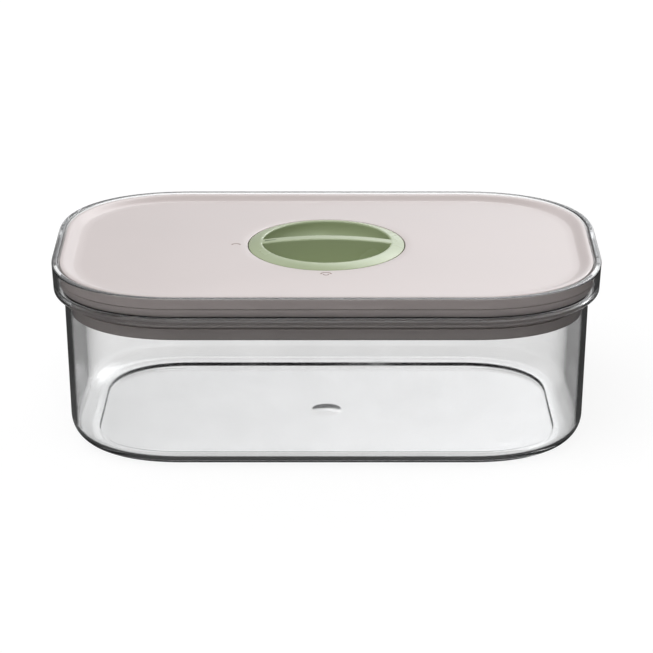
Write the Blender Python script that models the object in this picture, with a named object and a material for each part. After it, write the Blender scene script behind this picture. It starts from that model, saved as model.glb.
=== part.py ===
"""Food storage container with a twist-to-seal lid.

The clear container stands on z = 0 with its length along X and its front towards -Y.
The lid drops into its collar. A quarter turn of the knob moves three pegs along helical
slots, so the pressure plate rises and squeezes the gasket against the container's wall.
All sizes are in metres. The pieces are modelled sealed, with the knob's bar along X.
"""

from math import cos, pi, radians, sin, sqrt, tan

import bmesh
import bpy

# Running clearance between pieces that touch, and how far a cutter runs past what it cuts
CLEARANCE = 0.0003
OVERRUN = 0.0010

# Plan of the container: a rounded rectangle whose corners are parts of a superellipse
CONTAINER_LENGTH = 0.2300
CONTAINER_DEPTH = 0.1416
CONTAINER_HEIGHT = 0.0774
CORNER_LENGTH = 0.0562
CORNER_DEPTH = 0.0540
CORNER_POWER_SHARE = 0.877
SHORT_SIDE_STEPS = 1
CORNER_STEPS = 8
LONG_SIDE_STEPS = 3

# Collar round the container's mouth, and the shoulder inside it that carries the lid
COLLAR_HEIGHT = 0.0120
COLLAR_WALL = 0.0025
COLLAR_TAPER = 0.0005
COLLAR_INNER_TAPER = 0.0003
COLLAR_STEP = 0.0049
SHOULDER_THICKNESS = 0.0025
RIM_RADIUS = 0.0007
SHOULDER_RADIUS = 0.0010

# Container's body and floor
BODY_WALL = 0.0022
BODY_DRAFT = radians(1.43)
FLOOR_THICKNESS = 0.0031
FLOOR_FILLET = 0.0060
FLOOR_FILLET_STEPS = 4
FLOOR_RECESS_DEPTH = 0.0015
FLOOR_RECESS_INSET = 0.0193
FLOOR_RECESS_STRETCH = 0.0012
FLOOR_RECESS_RADIUS = 0.0003
BASE_RADIUS = 0.0100
BASE_STEPS = 4
GATE_DIMPLE_RADIUS = 0.0065
GATE_DIMPLE_DEPTH = 0.0008

# Lid cover
LID_GAP = 0.0008
LID_DROP = 0.0002
LIP_WIDTH = 0.0014
LIP_RADIUS = 0.0005
BAND_WIDTH = 0.0046
BAND_DROP = 0.0018
COVER_SHELL = 0.0019
SKIRT_HEIGHT = 0.0050
SKIRT_WALL = 0.0018
TONGUE_WALL = 0.0014
COVER_RIB_COUNT = 8
COVER_RIB_HEIGHT = 0.0016
COVER_RIB_WIDTH = 0.0012
COVER_RIB_LENGTH = 0.0200
PANEL_STEPS = 3

# Lid frame
FRAME_SHEET = 0.0018
FRAME_UNDERCUT = 0.0022
FRAME_HOLE_GAP = 0.0010
SEAT_GAP = 0.0006
SEAT_DROP = 0.0014
SEAT_WIDTH = 0.0058
GUIDE_POST_RADIUS = 0.0030
GUIDE_POST_LENGTH = 0.0074
GUIDE_GAP = 0.00035
GUIDE_SOCKET_WALL = 0.0013
GUIDE_SOCKET_HEIGHT = 0.0080
GUIDE_END_INSET = 0.0590
GUIDE_SIDE_INSET = 0.0368

# Knob
KNOB_RADIUS = 0.0331
KNOB_DROP = 0.0009
KNOB_FLANGE = 0.0019
KNOB_EDGE = 0.0003
KNOB_HOLE_GAP = 0.00035
KNOB_RIM_WIDTH = 0.0059
RECESS_EDGE = 0.0005
BOWL_WALL = 0.0020
BOWL_SIDE_SHARE = 0.45
BOWL_FLOOR_SHARE = 0.80
BOWL_STEPS = 6
BAR_TOP_WIDTH = 0.0050
BAR_FOOT_WIDTH = 0.0072
BAR_CROWN = 0.0019
BAR_EDGE = 0.0006
BAR_STEPS = 10
KNOB_SEGMENTS = 48

# Well in the cover that holds the knob, and the ring under the knob's flange
WELL_WALL = 0.00175
LEDGE_THICKNESS = 0.0015
LEDGE_GAP = 0.0004
SPLASH_RING_HEIGHT = 0.0007
SPLASH_RING_MARGIN = 0.0002

# Cam cup under the knob
CUP_INSET = 0.0021
CUP_WALL = 0.0021
CUP_FLANGE = 0.0014
CUP_FLANGE_WIDTH = 0.0020
CUP_FLOOR = 0.0018
NECK_INSET = 0.0002
KNOB_PLAY = 0.0004
SLOT_MARGIN = 0.0007
SLOT_FLOOR_MARGIN = 0.0005
SLOT_COUNT = 3
SLOT_STEPS = 14
SLOT_END_STEPS = 4

# Motion: the knob's quarter turn and the drop that it gives the pressure plate
KNOB_TURN = radians(90)
PLATE_TRAVEL = 0.0030

# Lift collar and its pegs
PEG_RADIUS = 0.0015
PEG_GAP = 0.00035
PEG_MARGIN = 0.00055
PEG_START = radians(30)
PEG_SEGMENTS = 12
COLLAR_RUNNING_GAP = 0.0005
LIFT_COLLAR_WALL = 0.0021
LIFT_COLLAR_FOOT_WIDTH = 0.0079
LIFT_COLLAR_FOOT = 0.0016

# Pressure plate
PLATE_SHELL = 0.0020
PLATE_GAP = 0.0004
PLATE_EDGE = 0.0012
CUP_CLEARANCE = 0.0015
RAIL_HEIGHT = 0.0030
RAIL_WALL = 0.0018
RAIL_GROOVE = 0.0020
INNER_RAIL_WALL = 0.0016
PLATE_BOSS_RADIUS = 0.0030
PLATE_BOSS_HEIGHT = 0.0040
PLATE_RIB_WIDTH = 0.0012
PLATE_RIB_HEIGHT = 0.0022

# Gasket
GASKET_FIN = 0.0007
GASKET_FIN_HEIGHT = 0.0009
GASKET_WALL_GAP = 0.0003

# Screws
SCREW_RADIUS = 0.0013
SCREW_HEAD_RADIUS = 0.0025
SCREW_HEAD_HEIGHT = 0.0015
SCREW_SEGMENTS = 10
KNOB_SCREW_SPACING_SHARE = 0.483
KNOB_SCREW_LENGTH = 0.0080
COLLAR_SCREW_INSET = 0.0035
COLLAR_SCREW_COUNT = 4
COLLAR_SCREW_LENGTH = 0.0050
FRAME_SCREW_END_INSET = 0.0290
FRAME_SCREW_SIDE_INSET = 0.0408
FRAME_SCREW_LENGTH = 0.0056
COVER_BOSS_RADIUS = 0.0028
TOOL_SEGMENTS = 12

# Levels worked out from the rim down, with the knob turned to sealed
SHOULDER_UNDERSIDE = CONTAINER_HEIGHT - COLLAR_HEIGHT
SHOULDER_TOP = SHOULDER_UNDERSIDE + SHOULDER_THICKNESS
LIP_TOP = CONTAINER_HEIGHT - LID_DROP
PANEL_EDGE = LIP_TOP - BAND_DROP
SKIRT_BOTTOM = LIP_TOP - SKIRT_HEIGHT
FRAME_TOP = SKIRT_BOTTOM - CLEARANCE
FRAME_UNDERSIDE = SHOULDER_TOP + CLEARANCE
DECK_TOP = FRAME_UNDERSIDE + FRAME_SHEET
SEAT_UNDERSIDE = FRAME_UNDERSIDE - SEAT_DROP
KNOB_TOP = CONTAINER_HEIGHT - KNOB_DROP
FLANGE_UNDERSIDE = KNOB_TOP - KNOB_FLANGE
SPLASH_RING_TOP = FLANGE_UNDERSIDE - CLEARANCE
SPLASH_RING_UNDERSIDE = SPLASH_RING_TOP - SPLASH_RING_HEIGHT
LEDGE_TOP = SPLASH_RING_UNDERSIDE - CLEARANCE
LEDGE_UNDERSIDE = LEDGE_TOP - LEDGE_THICKNESS
CUP_TOP = LEDGE_UNDERSIDE - KNOB_PLAY
NECK_UNDERSIDE = CUP_TOP + CLEARANCE
CUP_FLANGE_UNDERSIDE = CUP_TOP - CUP_FLANGE
SLOT_WIDTH = 2 * (PEG_RADIUS + PEG_GAP)
PEG_LEVEL = CUP_FLANGE_UNDERSIDE - SLOT_MARGIN - SLOT_WIDTH / 2
SLOT_UNDERSIDE = PEG_LEVEL - PLATE_TRAVEL - SLOT_WIDTH / 2
CUP_FLOOR_TOP = SLOT_UNDERSIDE - SLOT_FLOOR_MARGIN
CUP_UNDERSIDE = CUP_FLOOR_TOP - CUP_FLOOR
BOWL_UNDERSIDE = CUP_FLOOR_TOP + CLEARANCE
BOWL_FLOOR = BOWL_UNDERSIDE + BOWL_WALL
PLATE_FLOOR = CUP_UNDERSIDE - CUP_CLEARANCE
PLATE_UNDERSIDE = PLATE_FLOOR - PLATE_SHELL
RAIL_TOP = PLATE_FLOOR + RAIL_HEIGHT
BOSS_TOP = PLATE_FLOOR + PLATE_BOSS_HEIGHT
FOOT_UNDERSIDE = BOSS_TOP + CLEARANCE
FOOT_TOP = FOOT_UNDERSIDE + LIFT_COLLAR_FOOT
LIFT_COLLAR_TOP = PEG_LEVEL + PEG_RADIUS + PEG_MARGIN
GASKET_TOP = SEAT_UNDERSIDE - CLEARANCE
GASKET_HEAD_UNDERSIDE = RAIL_TOP + CLEARANCE

# Radii about the knob's axis
RECESS_RADIUS = KNOB_RADIUS - KNOB_RIM_WIDTH
CUP_RADIUS = KNOB_RADIUS - CUP_INSET
CUP_FLANGE_RADIUS = CUP_RADIUS + CUP_FLANGE_WIDTH
NECK_RADIUS = CUP_RADIUS - NECK_INSET
KNOB_HOLE_RADIUS = KNOB_RADIUS + KNOB_HOLE_GAP
WELL_RADIUS = KNOB_HOLE_RADIUS + WELL_WALL
LEDGE_RADIUS = NECK_RADIUS + LEDGE_GAP
CUP_BORE = CUP_RADIUS - CUP_WALL
BOWL_RADIUS = CUP_BORE - CLEARANCE
LIFT_COLLAR_BORE = CUP_RADIUS + COLLAR_RUNNING_GAP
LIFT_COLLAR_RADIUS = LIFT_COLLAR_BORE + LIFT_COLLAR_WALL
FRAME_HOLE_RADIUS = LIFT_COLLAR_RADIUS + FRAME_HOLE_GAP
PEG_TIP = BOWL_RADIUS + 2 * CLEARANCE
LIFT_COLLAR_FOOT_RADIUS = LIFT_COLLAR_RADIUS + LIFT_COLLAR_FOOT_WIDTH
COLLAR_SCREW_CIRCLE = LIFT_COLLAR_FOOT_RADIUS - COLLAR_SCREW_INSET
KNOB_SCREW_SPACING = KNOB_RADIUS * KNOB_SCREW_SPACING_SHARE

# Places in each quarter of the plan, measured in from the rim's ends and sides
GUIDE_X = CONTAINER_LENGTH / 2 - GUIDE_END_INSET
GUIDE_Y = CONTAINER_DEPTH / 2 - GUIDE_SIDE_INSET
FRAME_SCREW_X = CONTAINER_LENGTH / 2 - FRAME_SCREW_END_INSET
FRAME_SCREW_Y = CONTAINER_DEPTH / 2 - FRAME_SCREW_SIDE_INSET


def collar_outside(z):
    """Inset of the collar's outer face from the rim's outline."""
    return COLLAR_TAPER * (CONTAINER_HEIGHT - z) / COLLAR_HEIGHT


def body_outside(z):
    """Inset of the drafted body's outer face."""
    return COLLAR_STEP + (SHOULDER_UNDERSIDE - z) * tan(BODY_DRAFT)


def body_inside(z):
    """Inset of the body's inner face."""
    return body_outside(z) + BODY_WALL


# Insets of the lid's pieces from the rim's outline
SKIRT_INSET = COLLAR_WALL + LID_GAP
BAND_TOP_INSET = SKIRT_INSET + LIP_WIDTH
BAND_FOOT_INSET = BAND_TOP_INSET + BAND_WIDTH
SKIRT_INNER_INSET = SKIRT_INSET + SKIRT_WALL
TONGUE_INSET = SKIRT_INNER_INSET + CLEARANCE
TONGUE_INNER_INSET = TONGUE_INSET + TONGUE_WALL
SEAT_INSET = body_inside(SHOULDER_TOP) + SEAT_GAP
SEAT_INNER_INSET = SEAT_INSET + SEAT_WIDTH
PLATE_INSET = body_inside(PLATE_UNDERSIDE) + PLATE_GAP
GROOVE_INSET = PLATE_INSET + RAIL_WALL
INNER_RAIL_INSET = GROOVE_INSET + RAIL_GROOVE
PLATE_FLOOR_INSET = INNER_RAIL_INSET + INNER_RAIL_WALL


def plan_loop(inset, z, stretch=0.0):
    """Outline of the container moved inwards by inset and stretched at both ends, at height z."""
    half_length = CONTAINER_LENGTH / 2 - inset + stretch
    half_depth = CONTAINER_DEPTH / 2 - inset
    centre_x = CONTAINER_LENGTH / 2 - CORNER_LENGTH + stretch
    centre_y = CONTAINER_DEPTH / 2 - CORNER_DEPTH
    quarter = []
    for step in range(SHORT_SIDE_STEPS):
        quarter.append((half_length, centre_y * step / SHORT_SIDE_STEPS))
    for step in range(CORNER_STEPS):
        angle = pi / 2 * step / CORNER_STEPS
        x = centre_x + (half_length - centre_x) * cos(angle) ** CORNER_POWER_SHARE
        y = centre_y + (half_depth - centre_y) * sin(angle) ** CORNER_POWER_SHARE
        quarter.append((x, y))
    for step in range(LONG_SIDE_STEPS + 1):
        quarter.append((centre_x * (1 - step / LONG_SIDE_STEPS), half_depth))
    outline = quarter[:-1]
    outline += [(-x, y) for x, y in reversed(quarter[1:])]
    outline += [(-x, -y) for x, y in quarter[:-1]]
    outline += [(x, -y) for x, y in reversed(quarter[1:])]
    return [(x, y, z) for x, y in outline]


def circle_loop(radius, z, segments=None):
    """Circle about the Z axis; by default it has as many points as the plan."""
    if segments is None:
        segments = 4 * (SHORT_SIDE_STEPS + CORNER_STEPS + LONG_SIDE_STEPS)
    angles = [2 * pi * step / segments for step in range(segments)]
    return [(radius * cos(angle), radius * sin(angle), z) for angle in angles]


def blend_loop(first, second, share):
    """Loop that lies a share of the way from the first loop to the second."""
    return [
        tuple(a + (b - a) * share for a, b in zip(point, other))
        for point, other in zip(first, second)
    ]


def arc(centre, radius, start, end, steps):
    """Points of an arc in the plane of a section, angles in degrees."""
    points = []
    for step in range(steps + 1):
        angle = radians(start + (end - start) * step / steps)
        points.append((centre[0] + radius * cos(angle), centre[1] + radius * sin(angle)))
    return points


def loft_mesh(name, loops, closed=False):
    """Mesh that joins loops of equal length, with its ends capped unless it closes on itself."""
    bm = bmesh.new()
    rings = [[bm.verts.new(point) for point in loop] for loop in loops]
    followers = rings[1:] + rings[:1] if closed else rings[1:]
    for ring, follower in zip(rings, followers):
        count = len(ring)
        for step in range(count):
            after = (step + 1) % count
            bm.faces.new((ring[step], ring[after], follower[after], follower[step]))
    if not closed:
        bm.faces.new(list(reversed(rings[0])))
        bm.faces.new(rings[-1])
    bmesh.ops.recalc_face_normals(bm, faces=bm.faces)
    mesh = bpy.data.meshes.new(name)
    bm.to_mesh(mesh)
    bm.free()
    mesh.shade_smooth()
    mesh.set_sharp_from_angle(angle=radians(32))
    return mesh


def material(name, colour, roughness, metallic=0.0):
    """Plain Principled material."""
    made = bpy.data.materials.new(name)
    made.use_nodes = True
    shader = made.node_tree.nodes["Principled BSDF"]
    shader.inputs["Base Color"].default_value = (*colour, 1.0)
    shader.inputs["Roughness"].default_value = roughness
    shader.inputs["Metallic"].default_value = metallic
    return made


def place(name, mesh, look, parent=None, location=(0, 0, 0)):
    """Object in the scene for one sub-part."""
    made = bpy.data.objects.new(name, mesh)
    if not mesh.materials:
        mesh.materials.append(look)
    made.location = location
    made.parent = parent
    bpy.context.scene.collection.objects.link(made)
    return made


def tool(name, mesh):
    """Hidden guide object that another piece is cut by or joined with."""
    made = bpy.data.objects.new(name, mesh)
    made.hide_render = True
    made.display_type = "WIRE"
    bpy.context.scene.collection.objects.link(made)
    return made


def combine(piece, other, operation):
    """Boolean of a piece with a tool."""
    modifier = piece.modifiers.new(other.name, "BOOLEAN")
    modifier.operation = operation
    modifier.solver = "EXACT"
    modifier.object = other


def group_mesh(name, solids):
    """One mesh made of several separate solids, each given as its list of loops."""
    bm = bmesh.new()
    for loops in solids:
        single = loft_mesh(name, loops)
        bm.from_mesh(single)
        bpy.data.meshes.remove(single)
    mesh = bpy.data.meshes.new(name)
    bm.to_mesh(mesh)
    bm.free()
    return mesh


def peg_loops(x, y, bottom, top, radius, segments=TOOL_SEGMENTS):
    """Upright cylinder with its axis at x, y."""
    loops = []
    for z in (bottom, top):
        loops.append([(x + a, y + b, c) for a, b, c in circle_loop(radius, z, segments)])
    return loops


def box_loops(start, end, half_width, bottom, top):
    """Upright wall along the line from start to end in plan."""
    along = (end[0] - start[0], end[1] - start[1])
    length = sqrt(along[0] ** 2 + along[1] ** 2)
    across = (-along[1] / length * half_width, along[0] / length * half_width)
    corners = [
        (start[0] - across[0], start[1] - across[1]),
        (end[0] - across[0], end[1] - across[1]),
        (end[0] + across[0], end[1] + across[1]),
        (start[0] + across[0], start[1] + across[1]),
    ]
    return [[(x, y, z) for x, y in corners] for z in (bottom, top)]


def four_places(x, y):
    """The same place in each quarter of the plan."""
    return [(x, y), (-x, y), (-x, -y), (x, -y)]


def circle_places(radius, count, start=0.0):
    """Places spread evenly round the knob's axis."""
    angles = [start + 2 * pi * step / count for step in range(count)]
    return [(radius * cos(angle), radius * sin(angle)) for angle in angles]


def make_container(look):
    """Clear box: drafted body on a rounded base, wider collar, shoulder and recessed floor."""
    section = arc(
        (body_outside(BASE_RADIUS) + BASE_RADIUS, BASE_RADIUS), BASE_RADIUS, 270, 180, BASE_STEPS
    )
    underside = SHOULDER_UNDERSIDE
    collar_foot = collar_outside(underside)
    section.append((body_outside(underside - SHOULDER_RADIUS), underside - SHOULDER_RADIUS))
    section.append((body_outside(underside) - SHOULDER_RADIUS / 2, underside))
    section += arc(
        (collar_foot + SHOULDER_RADIUS, underside + SHOULDER_RADIUS), SHOULDER_RADIUS, 270, 180, 2
    )
    rim_centre = CONTAINER_HEIGHT - RIM_RADIUS
    section += arc((RIM_RADIUS, rim_centre), RIM_RADIUS, 180, 90, 2)
    section += arc((COLLAR_WALL - RIM_RADIUS, rim_centre), RIM_RADIUS, 90, 0, 2)
    collar_corner = COLLAR_WALL + COLLAR_INNER_TAPER + SHOULDER_RADIUS
    section += arc((collar_corner, SHOULDER_TOP + SHOULDER_RADIUS), SHOULDER_RADIUS, 180, 270, 2)
    shoulder_edge = SHOULDER_TOP - RIM_RADIUS
    section += arc((body_inside(shoulder_edge) - RIM_RADIUS, shoulder_edge), RIM_RADIUS, 90, 0, 2)
    fillet_centre = FLOOR_THICKNESS + FLOOR_FILLET
    section += arc(
        (body_inside(fillet_centre) + FLOOR_FILLET, fillet_centre),
        FLOOR_FILLET, 180, 270, FLOOR_FILLET_STEPS,
    )
    loops = [plan_loop(inset, z) for inset, z in section]
    recess_floor = FLOOR_THICKNESS - FLOOR_RECESS_DEPTH
    loops += [plan_loop(FLOOR_RECESS_INSET + inset, z, FLOOR_RECESS_STRETCH) for inset, z in (
        (-FLOOR_RECESS_RADIUS, FLOOR_THICKNESS), (0, FLOOR_THICKNESS - FLOOR_RECESS_RADIUS),
        (0, recess_floor + FLOOR_RECESS_RADIUS), (FLOOR_RECESS_RADIUS, recess_floor),
    )]
    container = place("container", loft_mesh("container", loops), look)

    # Gate dimple in the middle of the underside, part of a sphere
    sphere = (GATE_DIMPLE_RADIUS ** 2 + GATE_DIMPLE_DEPTH ** 2) / (2 * GATE_DIMPLE_DEPTH)
    rings = [circle_loop(GATE_DIMPLE_RADIUS, -OVERRUN, TOOL_SEGMENTS)]
    for step in range(3):
        radius = GATE_DIMPLE_RADIUS * (1 - step / 3)
        z = sqrt(sphere ** 2 - radius ** 2) - (sphere - GATE_DIMPLE_DEPTH)
        rings.append(circle_loop(radius, z, TOOL_SEGMENTS))
    combine(container, tool("gate_dimple", loft_mesh("gate_dimple", rings)), "DIFFERENCE")
    return container


def panel_loops(outer, inner):
    """Crowned sheet between a loop of the plan and a circle, both ends left out."""
    loops = []
    for step in range(1, PANEL_STEPS):
        share = step / PANEL_STEPS
        ring = blend_loop(outer, inner, share)
        rise = (inner[0][2] - outer[0][2]) * (sin(pi / 2 * share) - share)
        loops.append([(x, y, z + rise) for x, y, z in ring])
    return loops


def make_cover(look, parent):
    """Top shell: lip, sloping band, crowned panel, knob well and skirt."""
    hole_top = circle_loop(KNOB_HOLE_RADIUS, KNOB_TOP)
    panel_foot = plan_loop(BAND_FOOT_INSET, PANEL_EDGE)
    loops = [
        circle_loop(LEDGE_RADIUS, LEDGE_TOP),
        circle_loop(KNOB_HOLE_RADIUS, LEDGE_TOP),
        hole_top,
    ]
    loops += reversed(panel_loops(panel_foot, hole_top))
    loops.append(panel_foot)
    band_bend = (BAND_WIDTH / 4, BAND_DROP / 8)
    loops.append(plan_loop(BAND_FOOT_INSET - band_bend[0], PANEL_EDGE + band_bend[1]))
    loops.append(plan_loop(BAND_TOP_INSET, LIP_TOP))
    for inset, z in arc((SKIRT_INSET + LIP_RADIUS, LIP_TOP - LIP_RADIUS), LIP_RADIUS, 90, 180, 2):
        loops.append(plan_loop(inset, z))
    loops.append(plan_loop(SKIRT_INSET, SKIRT_BOTTOM))
    loops.append(plan_loop(SKIRT_INNER_INSET, SKIRT_BOTTOM))
    tongue_root = SKIRT_BOTTOM + CLEARANCE
    tongue_foot = DECK_TOP + CLEARANCE
    loops.append(plan_loop(SKIRT_INNER_INSET, tongue_root))
    loops.append(plan_loop(TONGUE_INSET, tongue_root))
    loops.append(plan_loop(TONGUE_INSET, tongue_foot))
    loops.append(plan_loop(TONGUE_INNER_INSET, tongue_foot))
    loops.append(plan_loop(TONGUE_INNER_INSET, PANEL_EDGE - COVER_SHELL))
    ceiling_edge = plan_loop(BAND_FOOT_INSET, PANEL_EDGE - COVER_SHELL)
    well_root = circle_loop(WELL_RADIUS, KNOB_TOP - COVER_SHELL)
    loops.append(ceiling_edge)
    loops += panel_loops(ceiling_edge, well_root)
    loops.append(well_root)
    loops.append(circle_loop(WELL_RADIUS, LEDGE_UNDERSIDE))
    loops.append(circle_loop(LEDGE_RADIUS, LEDGE_UNDERSIDE))
    cover = place("lid_cover", loft_mesh("lid_cover", loops, closed=True), look, parent)

    # Screw bosses and ribs under the panel
    boss_foot = DECK_TOP + CLEARANCE
    boss_top = PANEL_EDGE - COVER_SHELL / 2
    solids = [
        peg_loops(x, y, boss_foot, boss_top, COVER_BOSS_RADIUS)
        for x, y in four_places(FRAME_SCREW_X, FRAME_SCREW_Y)
    ]
    rib_start = WELL_RADIUS - WELL_WALL / 2
    rib_places = circle_places(1, COVER_RIB_COUNT, pi / COVER_RIB_COUNT)
    for x, y in rib_places:
        start = (x * rib_start, y * rib_start)
        end = (x * (rib_start + COVER_RIB_LENGTH), y * (rib_start + COVER_RIB_LENGTH))
        rib_foot = PANEL_EDGE - COVER_SHELL - COVER_RIB_HEIGHT
        solids.append(box_loops(start, end, COVER_RIB_WIDTH / 2, rib_foot, boss_top))
    combine(cover, tool("cover_bosses", group_mesh("cover_bosses", solids)), "UNION")
    pilot_top = FRAME_UNDERSIDE + FRAME_SCREW_LENGTH + CLEARANCE
    pilots = [
        peg_loops(x, y, boss_foot - OVERRUN, pilot_top, SCREW_RADIUS + CLEARANCE, SCREW_SEGMENTS)
        for x, y in four_places(FRAME_SCREW_X, FRAME_SCREW_Y)
    ]
    combine(cover, tool("cover_pilots", group_mesh("cover_pilots", pilots)), "DIFFERENCE")
    return cover


def make_frame(look, parent):
    """Lower shell: undercut flange that stands on the shoulder, gasket seat, deck and posts."""
    flange_height = FRAME_TOP - FRAME_UNDERSIDE
    flange_foot = SKIRT_INSET + FRAME_UNDERCUT
    section = [(SKIRT_INSET, FRAME_TOP)]
    for step in range(1, 4):
        share = step / 4
        inset = SKIRT_INSET + FRAME_UNDERCUT * share ** 2
        section.append((inset, FRAME_TOP - flange_height * sin(pi / 2 * share)))
    section.append((flange_foot, FRAME_UNDERSIDE))
    section.append((SEAT_INSET, FRAME_UNDERSIDE))
    section.append((SEAT_INSET, SEAT_UNDERSIDE))
    section.append((SEAT_INNER_INSET, SEAT_UNDERSIDE))
    section.append((SEAT_INNER_INSET, FRAME_UNDERSIDE))
    loops = [plan_loop(inset, z) for inset, z in section]
    loops.append(circle_loop(FRAME_HOLE_RADIUS, FRAME_UNDERSIDE))
    loops.append(circle_loop(FRAME_HOLE_RADIUS, DECK_TOP))
    loops.append(plan_loop(SEAT_INNER_INSET, DECK_TOP))
    loops.append(plan_loop(SKIRT_INNER_INSET, DECK_TOP))
    loops.append(plan_loop(SKIRT_INNER_INSET, FRAME_TOP))
    frame = place("lid_frame", loft_mesh("lid_frame", loops, closed=True), look, parent)

    post_root = FRAME_UNDERSIDE + FRAME_SHEET / 2
    posts = [
        peg_loops(x, y, FRAME_UNDERSIDE - GUIDE_POST_LENGTH, post_root, GUIDE_POST_RADIUS)
        for x, y in four_places(GUIDE_X, GUIDE_Y)
    ]
    combine(frame, tool("frame_posts", group_mesh("frame_posts", posts)), "UNION")
    holes = [
        peg_loops(
            x, y, FRAME_UNDERSIDE - OVERRUN, DECK_TOP + OVERRUN,
            SCREW_RADIUS + CLEARANCE, SCREW_SEGMENTS,
        )
        for x, y in four_places(FRAME_SCREW_X, FRAME_SCREW_Y)
    ]
    combine(frame, tool("frame_holes", group_mesh("frame_holes", holes)), "DIFFERENCE")
    return frame


def bowl_point(radius, top, depth, share):
    """Point of the bowl's section, from its edge (share 0) to the middle of its floor (1)."""
    angle = pi / 2 * share
    return (
        radius * cos(angle) ** BOWL_SIDE_SHARE,
        top - depth * sin(angle) ** BOWL_FLOOR_SHARE,
    )


def knob_screw_places():
    """Three screws in line under the grip bar."""
    return [(x, 0) for x in (-KNOB_SCREW_SPACING, 0, KNOB_SCREW_SPACING)]


def make_knob(look, parent):
    """Twist knob: flush ring, deep recess, neck through the well and a crowned grip bar."""
    recess_top = KNOB_TOP - RECESS_EDGE
    bowl_depth = recess_top - BOWL_FLOOR
    under_depth = NECK_UNDERSIDE - BOWL_UNDERSIDE
    shares = [step / BOWL_STEPS for step in range(BOWL_STEPS)]
    section = [bowl_point(RECESS_RADIUS, recess_top, bowl_depth, share) for share in reversed(shares)]
    section.append((RECESS_RADIUS + RECESS_EDGE, KNOB_TOP))
    section.append((KNOB_RADIUS - KNOB_EDGE, KNOB_TOP))
    section.append((KNOB_RADIUS, KNOB_TOP - KNOB_EDGE))
    section.append((KNOB_RADIUS, FLANGE_UNDERSIDE))
    section.append((NECK_RADIUS, FLANGE_UNDERSIDE))
    section.append((NECK_RADIUS, NECK_UNDERSIDE))
    section += [bowl_point(BOWL_RADIUS, NECK_UNDERSIDE, under_depth, share) for share in shares]
    loops = [circle_loop(radius, z, KNOB_SEGMENTS) for radius, z in section]
    knob = place("knob", loft_mesh("knob", loops), look, parent)

    # Grip bar across the recess; its foot follows the middle of the bowl's wall
    middle_radius = (RECESS_RADIUS + BOWL_RADIUS) / 2
    middle_top = (recess_top + NECK_UNDERSIDE) / 2
    middle_depth = (bowl_depth + under_depth) / 2
    loops = []
    for step in range(BAR_STEPS + 1):
        x = middle_radius * cos(pi * step / BAR_STEPS)
        cosine = (abs(x) / middle_radius) ** (1 / BOWL_SIDE_SHARE)
        foot = middle_top - middle_depth * max(1 - cosine ** 2, 0) ** (BOWL_FLOOR_SHARE / 2)
        top = KNOB_TOP + BAR_CROWN * (1 - (x / RECESS_RADIUS) ** 2)
        spread = (BAR_FOOT_WIDTH - BAR_TOP_WIDTH) / 2 * (top - foot) / (KNOB_TOP - BOWL_FLOOR)
        half = BAR_TOP_WIDTH / 2
        outline = [
            (half + spread, foot), (half, top - BAR_EDGE), (half - BAR_EDGE, top),
            (BAR_EDGE - half, top), (-half, top - BAR_EDGE), (-half - spread, foot),
        ]
        loops.append([(x, y, z) for y, z in outline])
    combine(knob, tool("grip_bar", loft_mesh("grip_bar", loops)), "UNION")
    pilot_top = CUP_UNDERSIDE + KNOB_SCREW_LENGTH + CLEARANCE
    pilots = [
        peg_loops(x, y, BOWL_UNDERSIDE - OVERRUN, pilot_top, SCREW_RADIUS + CLEARANCE, SCREW_SEGMENTS)
        for x, y in knob_screw_places()
    ]
    combine(knob, tool("knob_pilots", group_mesh("knob_pilots", pilots)), "DIFFERENCE")
    return knob


def make_splash_ring(look, parent):
    """Flat silicone ring on the ledge of the well."""
    inner = LEDGE_RADIUS + SPLASH_RING_MARGIN
    outer = KNOB_HOLE_RADIUS - SPLASH_RING_MARGIN
    corners = [
        (inner, SPLASH_RING_UNDERSIDE), (outer, SPLASH_RING_UNDERSIDE),
        (outer, SPLASH_RING_TOP), (inner, SPLASH_RING_TOP),
    ]
    loops = [circle_loop(radius, z) for radius, z in corners]
    return place("splash_ring", loft_mesh("splash_ring", loops, closed=True), look, parent)


def slot_loops(start):
    """Cutter of one helical slot: a slanted, round-ended slot wrapped round the cup."""
    half = SLOT_WIDTH / 2
    end_angle = half / CUP_RADIUS
    stations = []
    for step in range(SLOT_END_STEPS):
        lean = pi / 2 * (step + 1) / (SLOT_END_STEPS + 1)
        stations.append((end_angle * cos(lean), half * sin(lean)))
    for step in range(SLOT_STEPS + 1):
        stations.append((-KNOB_TURN * step / SLOT_STEPS, half))
    for step in reversed(range(SLOT_END_STEPS)):
        lean = pi / 2 * (step + 1) / (SLOT_END_STEPS + 1)
        stations.append((-KNOB_TURN - end_angle * cos(lean), half * sin(lean)))
    loops = []
    for turn, height in stations:
        middle = PEG_LEVEL + PLATE_TRAVEL * turn / KNOB_TURN
        angle = start + turn
        corners = [
            (CUP_BORE - OVERRUN, middle - height), (CUP_RADIUS + OVERRUN, middle - height),
            (CUP_RADIUS + OVERRUN, middle + height), (CUP_BORE - OVERRUN, middle + height),
        ]
        loops.append([(radius * cos(angle), radius * sin(angle), z) for radius, z in corners])
    return loops


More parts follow.
